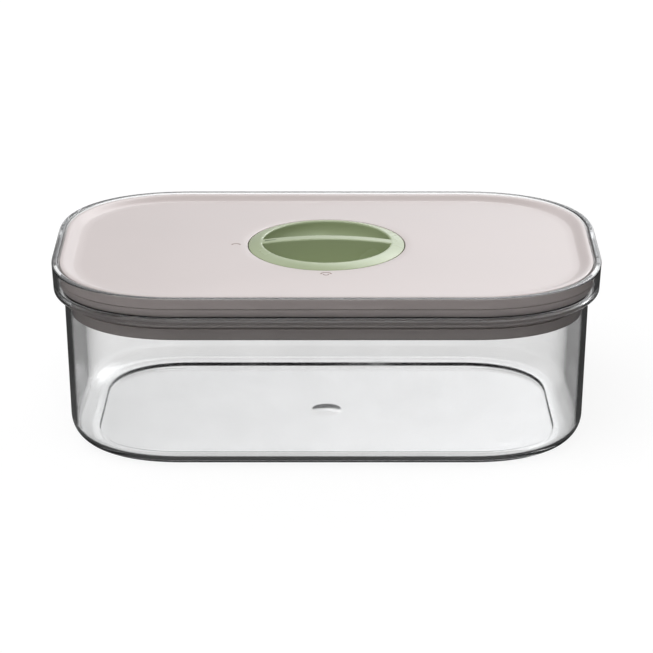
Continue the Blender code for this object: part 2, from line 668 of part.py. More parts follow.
def make_cam_cup(look, parent):
    """Cup screwed under the knob; its flange hooks under the ledge of the well."""
    section = [
        (CUP_BORE, CUP_FLOOR_TOP), (CUP_BORE, CUP_TOP), (CUP_FLANGE_RADIUS, CUP_TOP),
        (CUP_FLANGE_RADIUS, CUP_FLANGE_UNDERSIDE), (CUP_RADIUS, CUP_FLANGE_UNDERSIDE),
        (CUP_RADIUS, CUP_UNDERSIDE),
    ]
    loops = [circle_loop(radius, z, KNOB_SEGMENTS) for radius, z in section]
    cup = place("cam_cup", loft_mesh("cam_cup", loops), look, parent)
    starts = [PEG_START + 2 * pi * step / SLOT_COUNT for step in range(SLOT_COUNT)]
    slots = group_mesh("cam_slots", [slot_loops(start) for start in starts])
    combine(cup, tool("cam_slots", slots), "DIFFERENCE")
    seats = []
    for x, y in knob_screw_places():
        levels = [
            (SCREW_HEAD_RADIUS + CLEARANCE + OVERRUN, CUP_UNDERSIDE - OVERRUN),
            (SCREW_RADIUS + CLEARANCE, CUP_UNDERSIDE + SCREW_HEAD_RADIUS - SCREW_RADIUS),
            (SCREW_RADIUS + CLEARANCE, CUP_FLOOR_TOP + OVERRUN),
        ]
        seats.append([
            [(x + a, y + b, c) for a, b, c in circle_loop(radius, z, SCREW_SEGMENTS)]
            for radius, z in levels
        ])
    combine(cup, tool("cup_screw_seats", group_mesh("cup_screw_seats", seats)), "DIFFERENCE")
    return cup


def make_lift_collar(look, parent):
    """Collar screwed on the pressure plate, with a peg for each slot."""
    section = [
        (LIFT_COLLAR_BORE, FOOT_UNDERSIDE), (LIFT_COLLAR_FOOT_RADIUS, FOOT_UNDERSIDE),
        (LIFT_COLLAR_FOOT_RADIUS, FOOT_TOP), (LIFT_COLLAR_RADIUS, FOOT_TOP),
        (LIFT_COLLAR_RADIUS, LIFT_COLLAR_TOP), (LIFT_COLLAR_BORE, LIFT_COLLAR_TOP),
    ]
    loops = [circle_loop(radius, z, KNOB_SEGMENTS) for radius, z in section]
    collar = place("lift_collar", loft_mesh("lift_collar", loops, closed=True), look, parent)
    pegs = []
    root = LIFT_COLLAR_BORE + LIFT_COLLAR_WALL / 2
    for step in range(SLOT_COUNT):
        angle = PEG_START + 2 * pi * step / SLOT_COUNT
        loops = []
        for radius in (PEG_TIP, root):
            ring = []
            for across, up, _ in circle_loop(PEG_RADIUS, 0, PEG_SEGMENTS):
                x = radius * cos(angle) - across * sin(angle)
                y = radius * sin(angle) + across * cos(angle)
                ring.append((x, y, PEG_LEVEL + up))
            loops.append(ring)
        pegs.append(loops)
    combine(collar, tool("lift_pegs", group_mesh("lift_pegs", pegs)), "UNION")
    holes = [
        peg_loops(
            x, y, FOOT_UNDERSIDE - OVERRUN, FOOT_TOP + OVERRUN,
            SCREW_RADIUS + CLEARANCE, SCREW_SEGMENTS,
        )
        for x, y in circle_places(COLLAR_SCREW_CIRCLE, COLLAR_SCREW_COUNT, pi / COLLAR_SCREW_COUNT)
    ]
    combine(collar, tool("lift_collar_holes", group_mesh("lift_collar_holes", holes)), "DIFFERENCE")
    return collar


def make_plate(look, parent):
    """Closed plate under the lid: grooved rail round its edge, bosses, sockets and ribs."""
    edge_centre = PLATE_UNDERSIDE + PLATE_EDGE
    section = [
        (PLATE_FLOOR_INSET, PLATE_FLOOR), (PLATE_FLOOR_INSET, RAIL_TOP),
        (INNER_RAIL_INSET, RAIL_TOP), (INNER_RAIL_INSET, PLATE_FLOOR),
        (GROOVE_INSET, PLATE_FLOOR), (GROOVE_INSET, RAIL_TOP), (PLATE_INSET, RAIL_TOP),
    ]
    section += arc((PLATE_INSET + PLATE_EDGE, edge_centre), PLATE_EDGE, 180, 270, 2)
    loops = [plan_loop(inset, z) for inset, z in section]
    plate = place("pressure_plate", loft_mesh("pressure_plate", loops), look, parent)

    root = PLATE_FLOOR - PLATE_SHELL / 2
    socket_radius = GUIDE_POST_RADIUS + GUIDE_GAP + GUIDE_SOCKET_WALL
    boss_places = circle_places(COLLAR_SCREW_CIRCLE, COLLAR_SCREW_COUNT, pi / COLLAR_SCREW_COUNT)
    socket_places = four_places(GUIDE_X, GUIDE_Y)
    solids = [peg_loops(x, y, root, BOSS_TOP, PLATE_BOSS_RADIUS) for x, y in boss_places]
    socket_top = PLATE_FLOOR + GUIDE_SOCKET_HEIGHT
    solids += [peg_loops(x, y, root, socket_top, socket_radius) for x, y in socket_places]
    combine(plate, tool("plate_bosses", group_mesh("plate_bosses", solids)), "UNION")

    rib_top = PLATE_FLOOR + PLATE_RIB_HEIGHT
    half = PLATE_RIB_WIDTH / 2
    far_x = CONTAINER_LENGTH / 2 - PLATE_FLOOR_INSET + INNER_RAIL_WALL / 2
    far_y = CONTAINER_DEPTH / 2 - PLATE_FLOOR_INSET + INNER_RAIL_WALL / 2
    ribs = [box_loops(boss, socket, half, root, rib_top) for boss, socket in zip(boss_places, socket_places)]
    for side in (-1, 1):
        start = (side * LIFT_COLLAR_FOOT_RADIUS, 0)
        ribs.append(box_loops(start, (side * far_x, 0), half, root, rib_top))
        start = (0, side * LIFT_COLLAR_FOOT_RADIUS)
        ribs.append(box_loops(start, (0, side * far_y), half, root, rib_top))
    combine(plate, tool("plate_ribs", group_mesh("plate_ribs", ribs)), "UNION")

    pilots = [
        peg_loops(
            x, y, FOOT_TOP - COLLAR_SCREW_LENGTH - CLEARANCE, BOSS_TOP + OVERRUN,
            SCREW_RADIUS + CLEARANCE, SCREW_SEGMENTS,
        )
        for x, y in boss_places
    ]
    pilots += [
        peg_loops(x, y, PLATE_FLOOR, socket_top + OVERRUN, GUIDE_POST_RADIUS + GUIDE_GAP)
        for x, y in socket_places
    ]
    combine(plate, tool("plate_bores", group_mesh("plate_bores", pilots)), "DIFFERENCE")
    return plate


def make_gasket(look, parent):
    """Silicone ring, squeezed between seat and rail, with two fins and a stem in the groove."""
    fin_tip = body_inside(GASKET_TOP) + GASKET_WALL_GAP
    fin_root = fin_tip + GASKET_FIN
    head_inner = PLATE_FLOOR_INSET
    stem_outer = GROOVE_INSET + CLEARANCE
    stem_inner = INNER_RAIL_INSET - CLEARANCE
    stem_foot = PLATE_FLOOR + CLEARANCE
    section = [
        (head_inner, GASKET_HEAD_UNDERSIDE), (head_inner, GASKET_TOP), (fin_root, GASKET_TOP),
        (fin_tip, GASKET_TOP - GASKET_FIN_HEIGHT), (fin_root, GASKET_TOP - 2 * GASKET_FIN_HEIGHT),
        (fin_root, GASKET_HEAD_UNDERSIDE + 2 * GASKET_FIN_HEIGHT),
        (fin_tip, GASKET_HEAD_UNDERSIDE + GASKET_FIN_HEIGHT), (fin_root, GASKET_HEAD_UNDERSIDE),
        (stem_outer, GASKET_HEAD_UNDERSIDE), (stem_outer, stem_foot),
        (stem_inner, stem_foot), (stem_inner, GASKET_HEAD_UNDERSIDE),
    ]
    loops = [plan_loop(inset, z) for inset, z in section]
    return place("gasket", loft_mesh("gasket", loops, closed=True), look, parent)


def screw_mesh(name, length, countersunk):
    """Screw along +Z from the underside of its head, or from the face of a countersunk one."""
    if countersunk:
        cone = SCREW_HEAD_RADIUS - SCREW_RADIUS
        section = [(SCREW_HEAD_RADIUS, 0), (SCREW_RADIUS, cone)]
    else:
        crown = SCREW_HEAD_HEIGHT / 3
        section = [
            (SCREW_HEAD_RADIUS - crown, -SCREW_HEAD_HEIGHT),
            (SCREW_HEAD_RADIUS, crown - SCREW_HEAD_HEIGHT),
            (SCREW_HEAD_RADIUS, 0),
            (SCREW_RADIUS, 0),
        ]
    section += [(SCREW_RADIUS, length - SCREW_RADIUS), (SCREW_RADIUS / 2, length)]
    return loft_mesh(name, [circle_loop(radius, z, SCREW_SEGMENTS) for radius, z in section])


def make_screws(look, knob_parent, plate_parent, lid_parent):
    """Screws of the knob, the lift collar and the frame."""
    mesh = screw_mesh("knob_screw", KNOB_SCREW_LENGTH, countersunk=True)
    for number, (x, y) in enumerate(knob_screw_places(), 1):
        place(f"knob_screw_{number}", mesh, look, knob_parent, (x, y, CUP_UNDERSIDE))
    mesh = screw_mesh("collar_screw", COLLAR_SCREW_LENGTH, countersunk=False)
    places = circle_places(COLLAR_SCREW_CIRCLE, COLLAR_SCREW_COUNT, pi / COLLAR_SCREW_COUNT)
    for number, (x, y) in enumerate(places, 1):
        made = place(
            f"collar_screw_{number}", mesh, look, plate_parent, (x, y, FOOT_TOP + CLEARANCE)
        )
        made.rotation_euler = (pi, 0, 0)
    mesh = screw_mesh("frame_screw", FRAME_SCREW_LENGTH, countersunk=False)
    for number, (x, y) in enumerate(four_places(FRAME_SCREW_X, FRAME_SCREW_Y), 1):
        place(f"frame_screw_{number}", mesh, look, lid_parent, (x, y, FRAME_UNDERSIDE - CLEARANCE))


def make_axis(name, parent=None):
    """Empty on the upright axis through the middle, which carries one moving group."""
    empty = bpy.data.objects.new(name, None)
    empty.parent = parent
    bpy.context.scene.collection.objects.link(empty)
    return empty


def main():
    for item in list(bpy.data.objects):
        bpy.data.objects.remove(item)

    clear = material("clear_copolyester", (0.90, 0.92, 0.92), 0.05)
    clear.node_tree.nodes["Principled BSDF"].inputs["Transmission Weight"].default_value = 1.0
    cover_look = material("pale_pink_grey_plastic", (0.69, 0.65, 0.64), 0.35)
    frame_look = material("pale_pink_grey_frame_plastic", (0.62, 0.57, 0.56), 0.40)
    knob_look = material("sage_green_plastic", (0.30, 0.36, 0.23), 0.35)
    silicone = material("grey_silicone", (0.52, 0.48, 0.47), 0.60)
    acetal = material("white_acetal", (0.80, 0.80, 0.78), 0.40)
    steel = material("zinc_plated_steel", (0.60, 0.60, 0.62), 0.30, 1.0)

    lid = make_axis("lid_lift_axis")
    knob_axis = make_axis("knob_turn_axis", lid)
    plate_axis = make_axis("plate_drop_axis", lid)

    make_container(clear)
    make_cover(cover_look, lid)
    make_frame(frame_look, lid)
    make_splash_ring(silicone, lid)
    make_knob(knob_look, knob_axis)
    make_cam_cup(acetal, knob_axis)
    make_plate(frame_look, plate_axis)
    make_lift_collar(acetal, plate_axis)
    make_gasket(silicone, plate_axis)
    make_screws(steel, knob_axis, plate_axis, lid)


main()
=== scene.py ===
from math import atan2, cos, hypot, pi, radians, sin, sqrt, tan

import bmesh
import bpy
from mathutils import Matrix, Vector


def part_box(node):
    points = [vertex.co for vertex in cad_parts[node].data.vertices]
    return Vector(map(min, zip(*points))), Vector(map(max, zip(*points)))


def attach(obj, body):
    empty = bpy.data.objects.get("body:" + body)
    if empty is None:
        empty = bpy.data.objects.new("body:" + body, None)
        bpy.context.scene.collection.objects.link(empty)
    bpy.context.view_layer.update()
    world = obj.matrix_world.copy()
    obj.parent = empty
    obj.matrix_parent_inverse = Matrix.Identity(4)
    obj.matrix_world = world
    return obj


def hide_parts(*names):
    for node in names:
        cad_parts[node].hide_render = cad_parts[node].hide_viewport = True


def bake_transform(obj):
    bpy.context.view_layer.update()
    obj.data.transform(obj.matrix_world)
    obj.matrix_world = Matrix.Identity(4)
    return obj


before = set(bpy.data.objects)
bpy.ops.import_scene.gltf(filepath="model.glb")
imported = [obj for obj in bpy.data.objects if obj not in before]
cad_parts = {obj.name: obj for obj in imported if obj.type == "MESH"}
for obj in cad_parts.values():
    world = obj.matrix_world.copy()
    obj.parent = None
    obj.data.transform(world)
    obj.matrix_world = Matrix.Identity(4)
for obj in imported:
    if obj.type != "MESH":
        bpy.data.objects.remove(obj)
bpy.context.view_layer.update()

# Studio: a camera with a long lens, a pale seamless floor, one big softbox overhead
# and weaker lamps round it. The floor and the air look white to the camera and
# through the clear box, but give the object no more light than pale grey card would.
VIEW_ELEVATION = radians(20.5)
VIEW_DISTANCE = 1.266
AIM_HEIGHT = 0.0392
LENS = 162.6
SENSOR = 36.0
NEAR, FAR = 0.01, 50.0
WHITE = (1.0, 1.0, 1.0, 1.0)
AIR_WHITE = (0.985, 1.0, 1.02, 1.0)
AIR_DARK = (0.06, 0.06, 0.06, 1.0)
AMBIENT_BELOW = (0.05, 0.05, 0.05, 1.0)
AMBIENT_ABOVE = (0.45, 0.45, 0.45, 1.0)
CEILING_EDGE, CEILING_FULL = 0.75, 0.92
AMBIENT_FULL = 0.9
NO_BOUNCE = 0.5
UNSEEN_GLOW = 0.12
FLOOR_RADIUS = 12.0
FLOOR_POINTS = 64
FLOOR_DROP = 0.0001


def linear(code):
    """sRGB hex colour as linear red, green, blue and alpha."""
    values = [int(code[start:start + 2], 16) / 255 for start in (1, 3, 5)]
    return (*[v / 12.92 if v <= 0.04045 else ((v + 0.055) / 1.055) ** 2.4 for v in values], 1.0)


def node(tree, kind, inputs=None, stops=(), **settings):
    """Adds a shader node. An input is a value, or the output socket that feeds it."""
    made = tree.nodes.new("ShaderNode" + kind)
    for name, value in settings.items():
        setattr(made, name, value)
    for number, (position, colour) in enumerate(stops):
        made.color_ramp.elements[number].position = position
        made.color_ramp.elements[number].color = colour
    for name, value in (inputs or {}).items():
        if isinstance(value, bpy.types.NodeSocket):
            tree.links.new(value, made.inputs[name])
        else:
            made.inputs[name].default_value = value
    return made


def new_material(name):
    """Empty node material and its output node."""
    made = bpy.data.materials.new(name)
    made.use_nodes = True
    made.node_tree.nodes.clear()
    return made, made.node_tree, node(made.node_tree, "OutputMaterial")


def seen_rays(tree):
    """1 for what the camera sees, in reflections and through clear plastic too, else 0."""
    path = node(tree, "LightPath").outputs
    seen = path["Is Camera Ray"]
    for kind in ("Is Glossy Ray", "Is Transmission Ray"):
        seen = node(tree, "Math", {0: seen, 1: path[kind]}, operation="MAXIMUM").outputs[0]
    direct = node(tree, "Math", {0: path["Diffuse Depth"], 1: NO_BOUNCE}, operation="LESS_THAN")
    return node(tree, "Math", {0: seen, 1: direct.outputs[0]}, operation="MULTIPLY").outputs[0]


scene = bpy.context.scene
scene.view_settings.view_transform = "Standard"
camera_data = bpy.data.cameras.new("camera")
camera_data.lens = LENS
camera_data.sensor_width = SENSOR
camera_data.clip_start = NEAR
camera_data.clip_end = FAR
camera = bpy.data.objects.new("camera", camera_data)
camera.location = (
    0, -VIEW_DISTANCE * cos(VIEW_ELEVATION), AIM_HEIGHT + VIEW_DISTANCE * sin(VIEW_ELEVATION)
)
camera.rotation_euler = (pi / 2 - VIEW_ELEVATION, 0, 0)
scene.collection.objects.link(camera)
bpy.context.scene.camera = camera

# The air is white to the camera. In reflections and through clear plastic it is white up
# to a dark ceiling, and brighter to the right, to the back and above the middle, as from
# large softboxes. The rest of the light that it gives is a plain dim grey.
world = bpy.data.worlds.new("studio_air")
scene.world = world
world.use_nodes = True
air = world.node_tree
air.nodes.clear()
direction = node(air, "SeparateXYZ", {0: node(air, "TexCoord").outputs["Generated"]}).outputs
rightward = node(air, "MapRange", {
    "Value": direction["X"], "From Min": -0.15, "From Max": 0.15, "To Min": 0.5, "To Max": 1.6,
})
backward = node(air, "MapRange", {
    "Value": direction["Y"], "From Min": 0.0, "From Max": 0.8, "To Min": 0.7, "To Max": 1.15,
})
upward = node(air, "MapRange", {
    "Value": direction["Z"], "From Min": 0.35, "From Max": 0.65, "To Min": 1.0, "To Max": 3.0,
})
brightness = rightward.outputs[0]
for factor in (backward, upward):
    product = node(air, "Math", {0: brightness, 1: factor.outputs[0]}, operation="MULTIPLY")
    brightness = product.outputs[0]
surround = node(air, "ValToRGB", {0: direction["Z"]}, stops=(
    (CEILING_EDGE, AIR_WHITE), (CEILING_FULL, AIR_DARK),
))
reflected = node(
    air, "VectorMath", {0: surround.outputs[0], "Scale": brightness}, operation="SCALE"
)
ambient = node(air, "ValToRGB", {0: direction["Z"]}, stops=(
    (0.0, AMBIENT_BELOW), (AMBIENT_FULL, AMBIENT_ABOVE),
))
camera_ray = node(air, "LightPath").outputs["Is Camera Ray"]
seen = node(air, "MixRGB", {0: seen_rays(air), 1: ambient.outputs[0], 2: reflected.outputs[0]})
seen = node(air, "MixRGB", {0: camera_ray, 1: seen.outputs[0], 2: WHITE})
node(air, "OutputWorld", {0: node(air, "Background", {0: seen.outputs[0]}).outputs[0]})

# The floor is matt card. It glows less near the object, where the lamps light it too, so
# that it looks white there and still shows a faint shadow. Where the object mirrors it,
# it is dark, which gives clear plastic its dark edges.
floor_look, tree, output = new_material("pale_seamless_card")
place = node(tree, "TexCoord").outputs["Object"]
away = node(tree, "VectorMath", {0: place}, operation="LENGTH").outputs["Value"]
card = node(tree, "BsdfDiffuse", {"Color": linear("#7C7C7C")})
strength = node(tree, "MapRange", {
    "Value": seen_rays(tree), "To Min": UNSEEN_GLOW, "To Max": 1.0,
})
glow = node(tree, "Emission", {"Color": WHITE, "Strength": strength.outputs[0]})
greyed = node(tree, "MapRange", {
    "Value": away, "From Min": 0.25, "From Max": 1.0, "To Min": 0.16, "To Max": 0.0,
})
dimmed = node(tree, "MixShader", {0: greyed.outputs[0], 1: glow.outputs[0]})
lit = node(tree, "AddShader", {0: card.outputs[0], 1: dimmed.outputs[0]})
dark = node(tree, "BsdfDiffuse", {"Color": linear("#3F3F3F")})
# Close under the object the mirrored floor also glows faintly: painted light that lifts the dark
# lower edge of the clear box.
painted_glow_strength = node(tree, "MapRange", {
    "Value": away, "From Min": 0.08, "From Max": 0.16, "To Min": 0.05, "To Max": 0.0,
})
painted_glow_under_box = node(tree, "Emission", {"Color": WHITE, "Strength": painted_glow_strength.outputs[0]})
mirrored = node(tree, "AddShader", {0: dark.outputs[0], 1: painted_glow_under_box.outputs[0]})
bounces = node(tree, "LightPath").outputs["Glossy Depth"]
unreflected = node(tree, "MapRange", {"Value": bounces, "To Min": 1.0, "To Max": 0.0})
chosen = node(
    tree, "MixShader", {0: unreflected.outputs[0], 1: mirrored.outputs[0], 2: lit.outputs[0]}
)
tree.links.new(chosen.outputs[0], output.inputs["Surface"])
bm = bmesh.new()
bmesh.ops.create_circle(bm, cap_ends=True, segments=FLOOR_POINTS, radius=FLOOR_RADIUS)
bmesh.ops.translate(bm, verts=bm.verts, vec=(0, 0, -FLOOR_DROP))
floor_mesh = bpy.data.meshes.new("studio_floor")
bm.to_mesh(floor_mesh)
bm.free()
floor_mesh.materials.append(floor_look)
floor = bpy.data.objects.new("studio_floor", floor_mesh)
scene.collection.objects.link(floor)


def softbox(name, place, aim, size, watts):
    """Rectangular softbox at place, turned to aim."""
    lamp = bpy.data.lights.new(name, "AREA")
    lamp.shape = "RECTANGLE"
    lamp.size, lamp.size_y = size
    lamp.energy = watts
    made = bpy.data.objects.new(name, lamp)
    made.location = place
    made.rotation_mode = "QUATERNION"
    made.rotation_quaternion = (Vector(aim) - Vector(place)).to_track_quat("-Z", "Y")
    scene.collection.objects.link(made)


softbox("softbox_overhead", place=(-0.3, -0.5, 1.4), aim=(0, 0, 0), size=(1.4, 1.2), watts=13)
softbox("softbox_back_right", place=(0.9, 1.3, 0.9), aim=(0, 0, 0.05), size=(0.8, 0.8), watts=5)
softbox("softbox_front", place=(-0.6, -1.2, 1.5), aim=(0, 0, 0.04), size=(0.9, 0.9), watts=1.5)

# Clear box: one piece of injection-moulded copolyester. A drafted body with a wider
# collar round the mouth, a shoulder inside it that carries the lid, a rounded base, and
# a shallow step round the floor. The gate left a shallow dimple underneath.
CONTAINER_LENGTH = 0.2300
CONTAINER_DEPTH = 0.1416
CONTAINER_HEIGHT = 0.0774
CORNER_LENGTH = 0.0562
CORNER_DEPTH = 0.0540
CORNER_POWER_SHARE = 0.877
SHORT_SIDE_STEPS = 4
CORNER_STEPS = 40
LONG_SIDE_STEPS = 8
PLAN_POINTS = 4 * (SHORT_SIDE_STEPS + CORNER_STEPS + LONG_SIDE_STEPS)
COLLAR_HEIGHT = 0.0120
COLLAR_WALL = 0.0025
COLLAR_TAPER = 0.0005
COLLAR_INNER_TAPER = 0.0003
COLLAR_STEP = 0.0049
SHOULDER_THICKNESS = 0.0025
RIM_RADIUS = 0.0007
SHOULDER_RADIUS = 0.0010
BODY_WALL = 0.0022
BODY_DRAFT = radians(1.43)
FLOOR_THICKNESS = 0.0031
FLOOR_FILLET = 0.0060
FLOOR_RECESS_DEPTH = 0.0015
FLOOR_RECESS_INSET = 0.0193
FLOOR_RECESS_STRETCH = 0.0012
FLOOR_RECESS_RADIUS = 0.0003
BASE_RADIUS = 0.0100
GATE_DIMPLE_RADIUS = 0.0065
GATE_DIMPLE_DEPTH = 0.0008
SUPPORT = 0.0005
LONG_STRAIGHT = 5 * SUPPORT
EDGE_STEPS = 6
SMALL_EDGE_STEPS = 4
BASE_STEPS = 24
FILLET_STEPS = 32
DIMPLE_STEPS = 8
MERGE_DISTANCE = 1e-7
SHOULDER_UNDERSIDE = CONTAINER_HEIGHT - COLLAR_HEIGHT
SHOULDER_TOP = SHOULDER_UNDERSIDE + SHOULDER_THICKNESS


def body_outside(z):
    """Inset of the drafted body's outer face from the rim's outline."""
    return COLLAR_STEP + (SHOULDER_UNDERSIDE - z) * tan(BODY_DRAFT)


def body_inside(z):
    """Inset of the body's inner face."""
    return body_outside(z) + BODY_WALL


def plan_ring(inset, z, stretch=0.0):
    """Outline of the box moved inwards by inset: straight sides and superellipse corners."""
    half_length = CONTAINER_LENGTH / 2 - inset + stretch
    half_depth = CONTAINER_DEPTH / 2 - inset
    centre_x = CONTAINER_LENGTH / 2 - CORNER_LENGTH + stretch
    centre_y = CONTAINER_DEPTH / 2 - CORNER_DEPTH
    quarter = []
    for step in range(SHORT_SIDE_STEPS):
        quarter.append((half_length, centre_y * step / SHORT_SIDE_STEPS))
    for step in range(CORNER_STEPS):
        angle = pi / 2 * step / CORNER_STEPS
        quarter.append((
            centre_x + (half_length - centre_x) * cos(angle) ** CORNER_POWER_SHARE,
            centre_y + (half_depth - centre_y) * sin(angle) ** CORNER_POWER_SHARE,
        ))
    for step in range(LONG_SIDE_STEPS + 1):
        quarter.append((centre_x * (1 - step / LONG_SIDE_STEPS), half_depth))
    outline = quarter[:-1]
    outline += [(-x, y) for x, y in reversed(quarter[1:])]
    outline += [(-x, -y) for x, y in quarter[:-1]]
    outline += [(x, -y) for x, y in reversed(quarter[1:])]
    return [(x, y, z) for x, y in outline]


def circle_ring(radius, z):
    """Circle about the knob's axis, with as many points as the plan has."""
    angles = [2 * pi * step / PLAN_POINTS for step in range(PLAN_POINTS)]
    return [(radius * cos(angle), radius * sin(angle), z) for angle in angles]


def arc(centre, radius, start, end, steps=EDGE_STEPS):
    """Points of an arc in the plane of a section, angles in degrees."""
    turns = [radians(start + (end - start) * step / steps) for step in range(steps + 1)]
    return [(centre[0] + radius * cos(turn), centre[1] + radius * sin(turn)) for turn in turns]


def supported(section):
    """Section with extra points near the ends of its long straights, which keep them flat."""
    points = [section[0]]
    for (a, b), (c, d) in zip(section, section[1:]):
        length = hypot(c - a, d - b)
        if length > LONG_STRAIGHT:
            share = SUPPORT / length
            points.append((a + (c - a) * share, b + (d - b) * share))
            points.append((c - (c - a) * share, d - (d - b) * share))
        points.append((c, d))
    return points


def extruded(bm, edges, place):
    """Extrudes a line of edges once; place gives each new vertex its position."""
    made = bmesh.ops.extrude_edge_only(bm, edges=edges)["geom"]
    verts = {item for item in made if isinstance(item, bmesh.types.BMVert)}
    for vert in verts:
        vert.co = place(vert)
    new_edges = [item for item in made if isinstance(item, bmesh.types.BMEdge)]
    return [edge for edge in new_edges if verts.issuperset(edge.verts)]


def skin(rows, closed=True):
    """Surface extruded from row to row of points, with its first and last edges."""
    bm = bmesh.new()
    station = bm.verts.layers.int.new("station")
    first = [bm.verts.new(point) for point in rows[0]]
    for number, vert in enumerate(first):
        vert[station] = number
    edges = [bm.edges.new(pair) for pair in zip(first, first[1:] + first[:closed])]
    start = edges
    for row in rows[1:]:
        edges = extruded(bm, edges, lambda vert: row[vert[station]])
    return bm, start, edges


def swept(rings, joined=False):
    """Solid skinned over rings, capped at both ends or joined to its start."""
    bm, start, end = skin(rings + rings[:joined])
    if joined:
        bmesh.ops.remove_doubles(bm, verts=bm.verts, dist=MERGE_DISTANCE)
    else:
        bmesh.ops.contextual_create(bm, geom=start)
        bmesh.ops.contextual_create(bm, geom=end)
    bmesh.ops.recalc_face_normals(bm, faces=bm.faces)
    return bm


def add_piece(name, bm, look, body, stands_for, sharp=40):
    """Makes a finished bmesh a piece that rides on a body; sharp is in degrees."""
    mesh = bpy.data.meshes.new(name)
    bm.to_mesh(mesh)
    bm.free()
    mesh.shade_smooth()
    mesh.set_sharp_from_angle(angle=radians(sharp))
    mesh.materials.append(look)
    piece = bpy.data.objects.new(name, mesh)
    scene.collection.objects.link(piece)
    if body:
        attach(piece, body)
    if stands_for:
        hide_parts(*stands_for)
    return piece


# Polished clear copolyester: water-clear in the middle of a wall and dark along its edges.
# Slow flow of the melt leaves a faint cloudiness, which softens the reflections in places.
# Its shadow is a light one.
FLOW_SIZE = 0.025
FLOW_LOW, FLOW_HIGH = 0.35, 0.65
HAZE_FULL = 0.70
HAZE_ROUGHNESS = 0.06
clear_copolyester, tree, output = new_material("clear_copolyester")
place = node(tree, "TexCoord").outputs["Object"]
flow = node(tree, "TexNoise", {"Vector": place, "Scale": 1 / FLOW_SIZE, "Detail": 2.0})
flow = flow.outputs["Fac"]
haze = node(tree, "MapRange", {
    "Value": flow, "From Min": FLOW_LOW, "From Max": HAZE_FULL,
    "To Min": 0.0, "To Max": HAZE_ROUGHNESS,
})
tint = node(tree, "ValToRGB", {0: flow}, stops=(
    (FLOW_LOW, linear("#F8F8F8")), (FLOW_HIGH, linear("#FBFBFB")),
))
plastic = node(tree, "BsdfPrincipled", {
    "Base Color": tint.outputs[0], "Roughness": haze.outputs[0], "IOR": 1.57,
    "Transmission Weight": 1.0,
})
through = node(tree, "BsdfTransparent", {0: linear("#F2F4F4")})
shadow = node(tree, "LightPath").outputs["Is Shadow Ray"]
mixed = node(tree, "MixShader", {0: shadow, 1: plastic.outputs[0], 2: through.outputs[0]})
tree.links.new(mixed.outputs[0], output.inputs["Surface"])

# The section runs from the middle of the underside, up the outside, over the rim and down
# the inside to the step round the floor.
rings = []
sphere = (GATE_DIMPLE_RADIUS ** 2 + GATE_DIMPLE_DEPTH ** 2) / (2 * GATE_DIMPLE_DEPTH)
for step in range(1, DIMPLE_STEPS + 1):
    radius = GATE_DIMPLE_RADIUS * step / DIMPLE_STEPS
    rise = sqrt(sphere ** 2 - radius ** 2) - (sphere - GATE_DIMPLE_DEPTH)
    rings.append(circle_ring(radius, rise))
rings.append(circle_ring(GATE_DIMPLE_RADIUS + SUPPORT, 0))
base_inset = body_outside(BASE_RADIUS) + BASE_RADIUS
section = [(base_inset + SUPPORT, 0)]
section += arc((base_inset, BASE_RADIUS), BASE_RADIUS, 270, 180, BASE_STEPS)
collar_root = SHOULDER_RADIUS / 2
section += arc(
    (body_outside(SHOULDER_UNDERSIDE) - collar_root, SHOULDER_UNDERSIDE - collar_root),
    collar_root, 0, 90, SMALL_EDGE_STEPS,
)
section += arc(
    (COLLAR_TAPER + SHOULDER_RADIUS, SHOULDER_UNDERSIDE + SHOULDER_RADIUS),
    SHOULDER_RADIUS, 270, 180,
)
rim_centre = CONTAINER_HEIGHT - RIM_RADIUS
section += arc((RIM_RADIUS, rim_centre), RIM_RADIUS, 180, 90)
section += arc((COLLAR_WALL - RIM_RADIUS, rim_centre), RIM_RADIUS, 90, 0)
collar_corner = COLLAR_WALL + COLLAR_INNER_TAPER + SHOULDER_RADIUS
section += arc((collar_corner, SHOULDER_TOP + SHOULDER_RADIUS), SHOULDER_RADIUS, 180, 270)
shoulder_edge = SHOULDER_TOP - RIM_RADIUS
section += arc((body_inside(shoulder_edge) - RIM_RADIUS, shoulder_edge), RIM_RADIUS, 90, 0)
fillet_centre = FLOOR_THICKNESS + FLOOR_FILLET
fillet_inset = body_inside(fillet_centre) + FLOOR_FILLET
section += arc((fillet_inset, fillet_centre), FLOOR_FILLET, 180, 270, FILLET_STEPS)
section.append((fillet_inset + SUPPORT, FLOOR_THICKNESS))
rings += [plan_ring(inset, z) for inset, z in supported(section)]
step_outer = FLOOR_RECESS_INSET - FLOOR_RECESS_RADIUS
step_inner = FLOOR_RECESS_INSET + FLOOR_RECESS_RADIUS
recess_floor = FLOOR_THICKNESS - FLOOR_RECESS_DEPTH
recess = [(step_outer - SUPPORT, FLOOR_THICKNESS)]
recess += arc(
    (step_outer, FLOOR_THICKNESS - FLOOR_RECESS_RADIUS),
    FLOOR_RECESS_RADIUS, 90, 0, SMALL_EDGE_STEPS,
)
recess += arc(
    (step_inner, recess_floor + FLOOR_RECESS_RADIUS),
    FLOOR_RECESS_RADIUS, 180, 270, SMALL_EDGE_STEPS,
)
recess.append((step_inner + SUPPORT, recess_floor))
rings += [plan_ring(inset, z, FLOOR_RECESS_STRETCH) for inset, z in recess]
add_piece("clear_box", swept(rings), clear_copolyester, "container", ["container"])

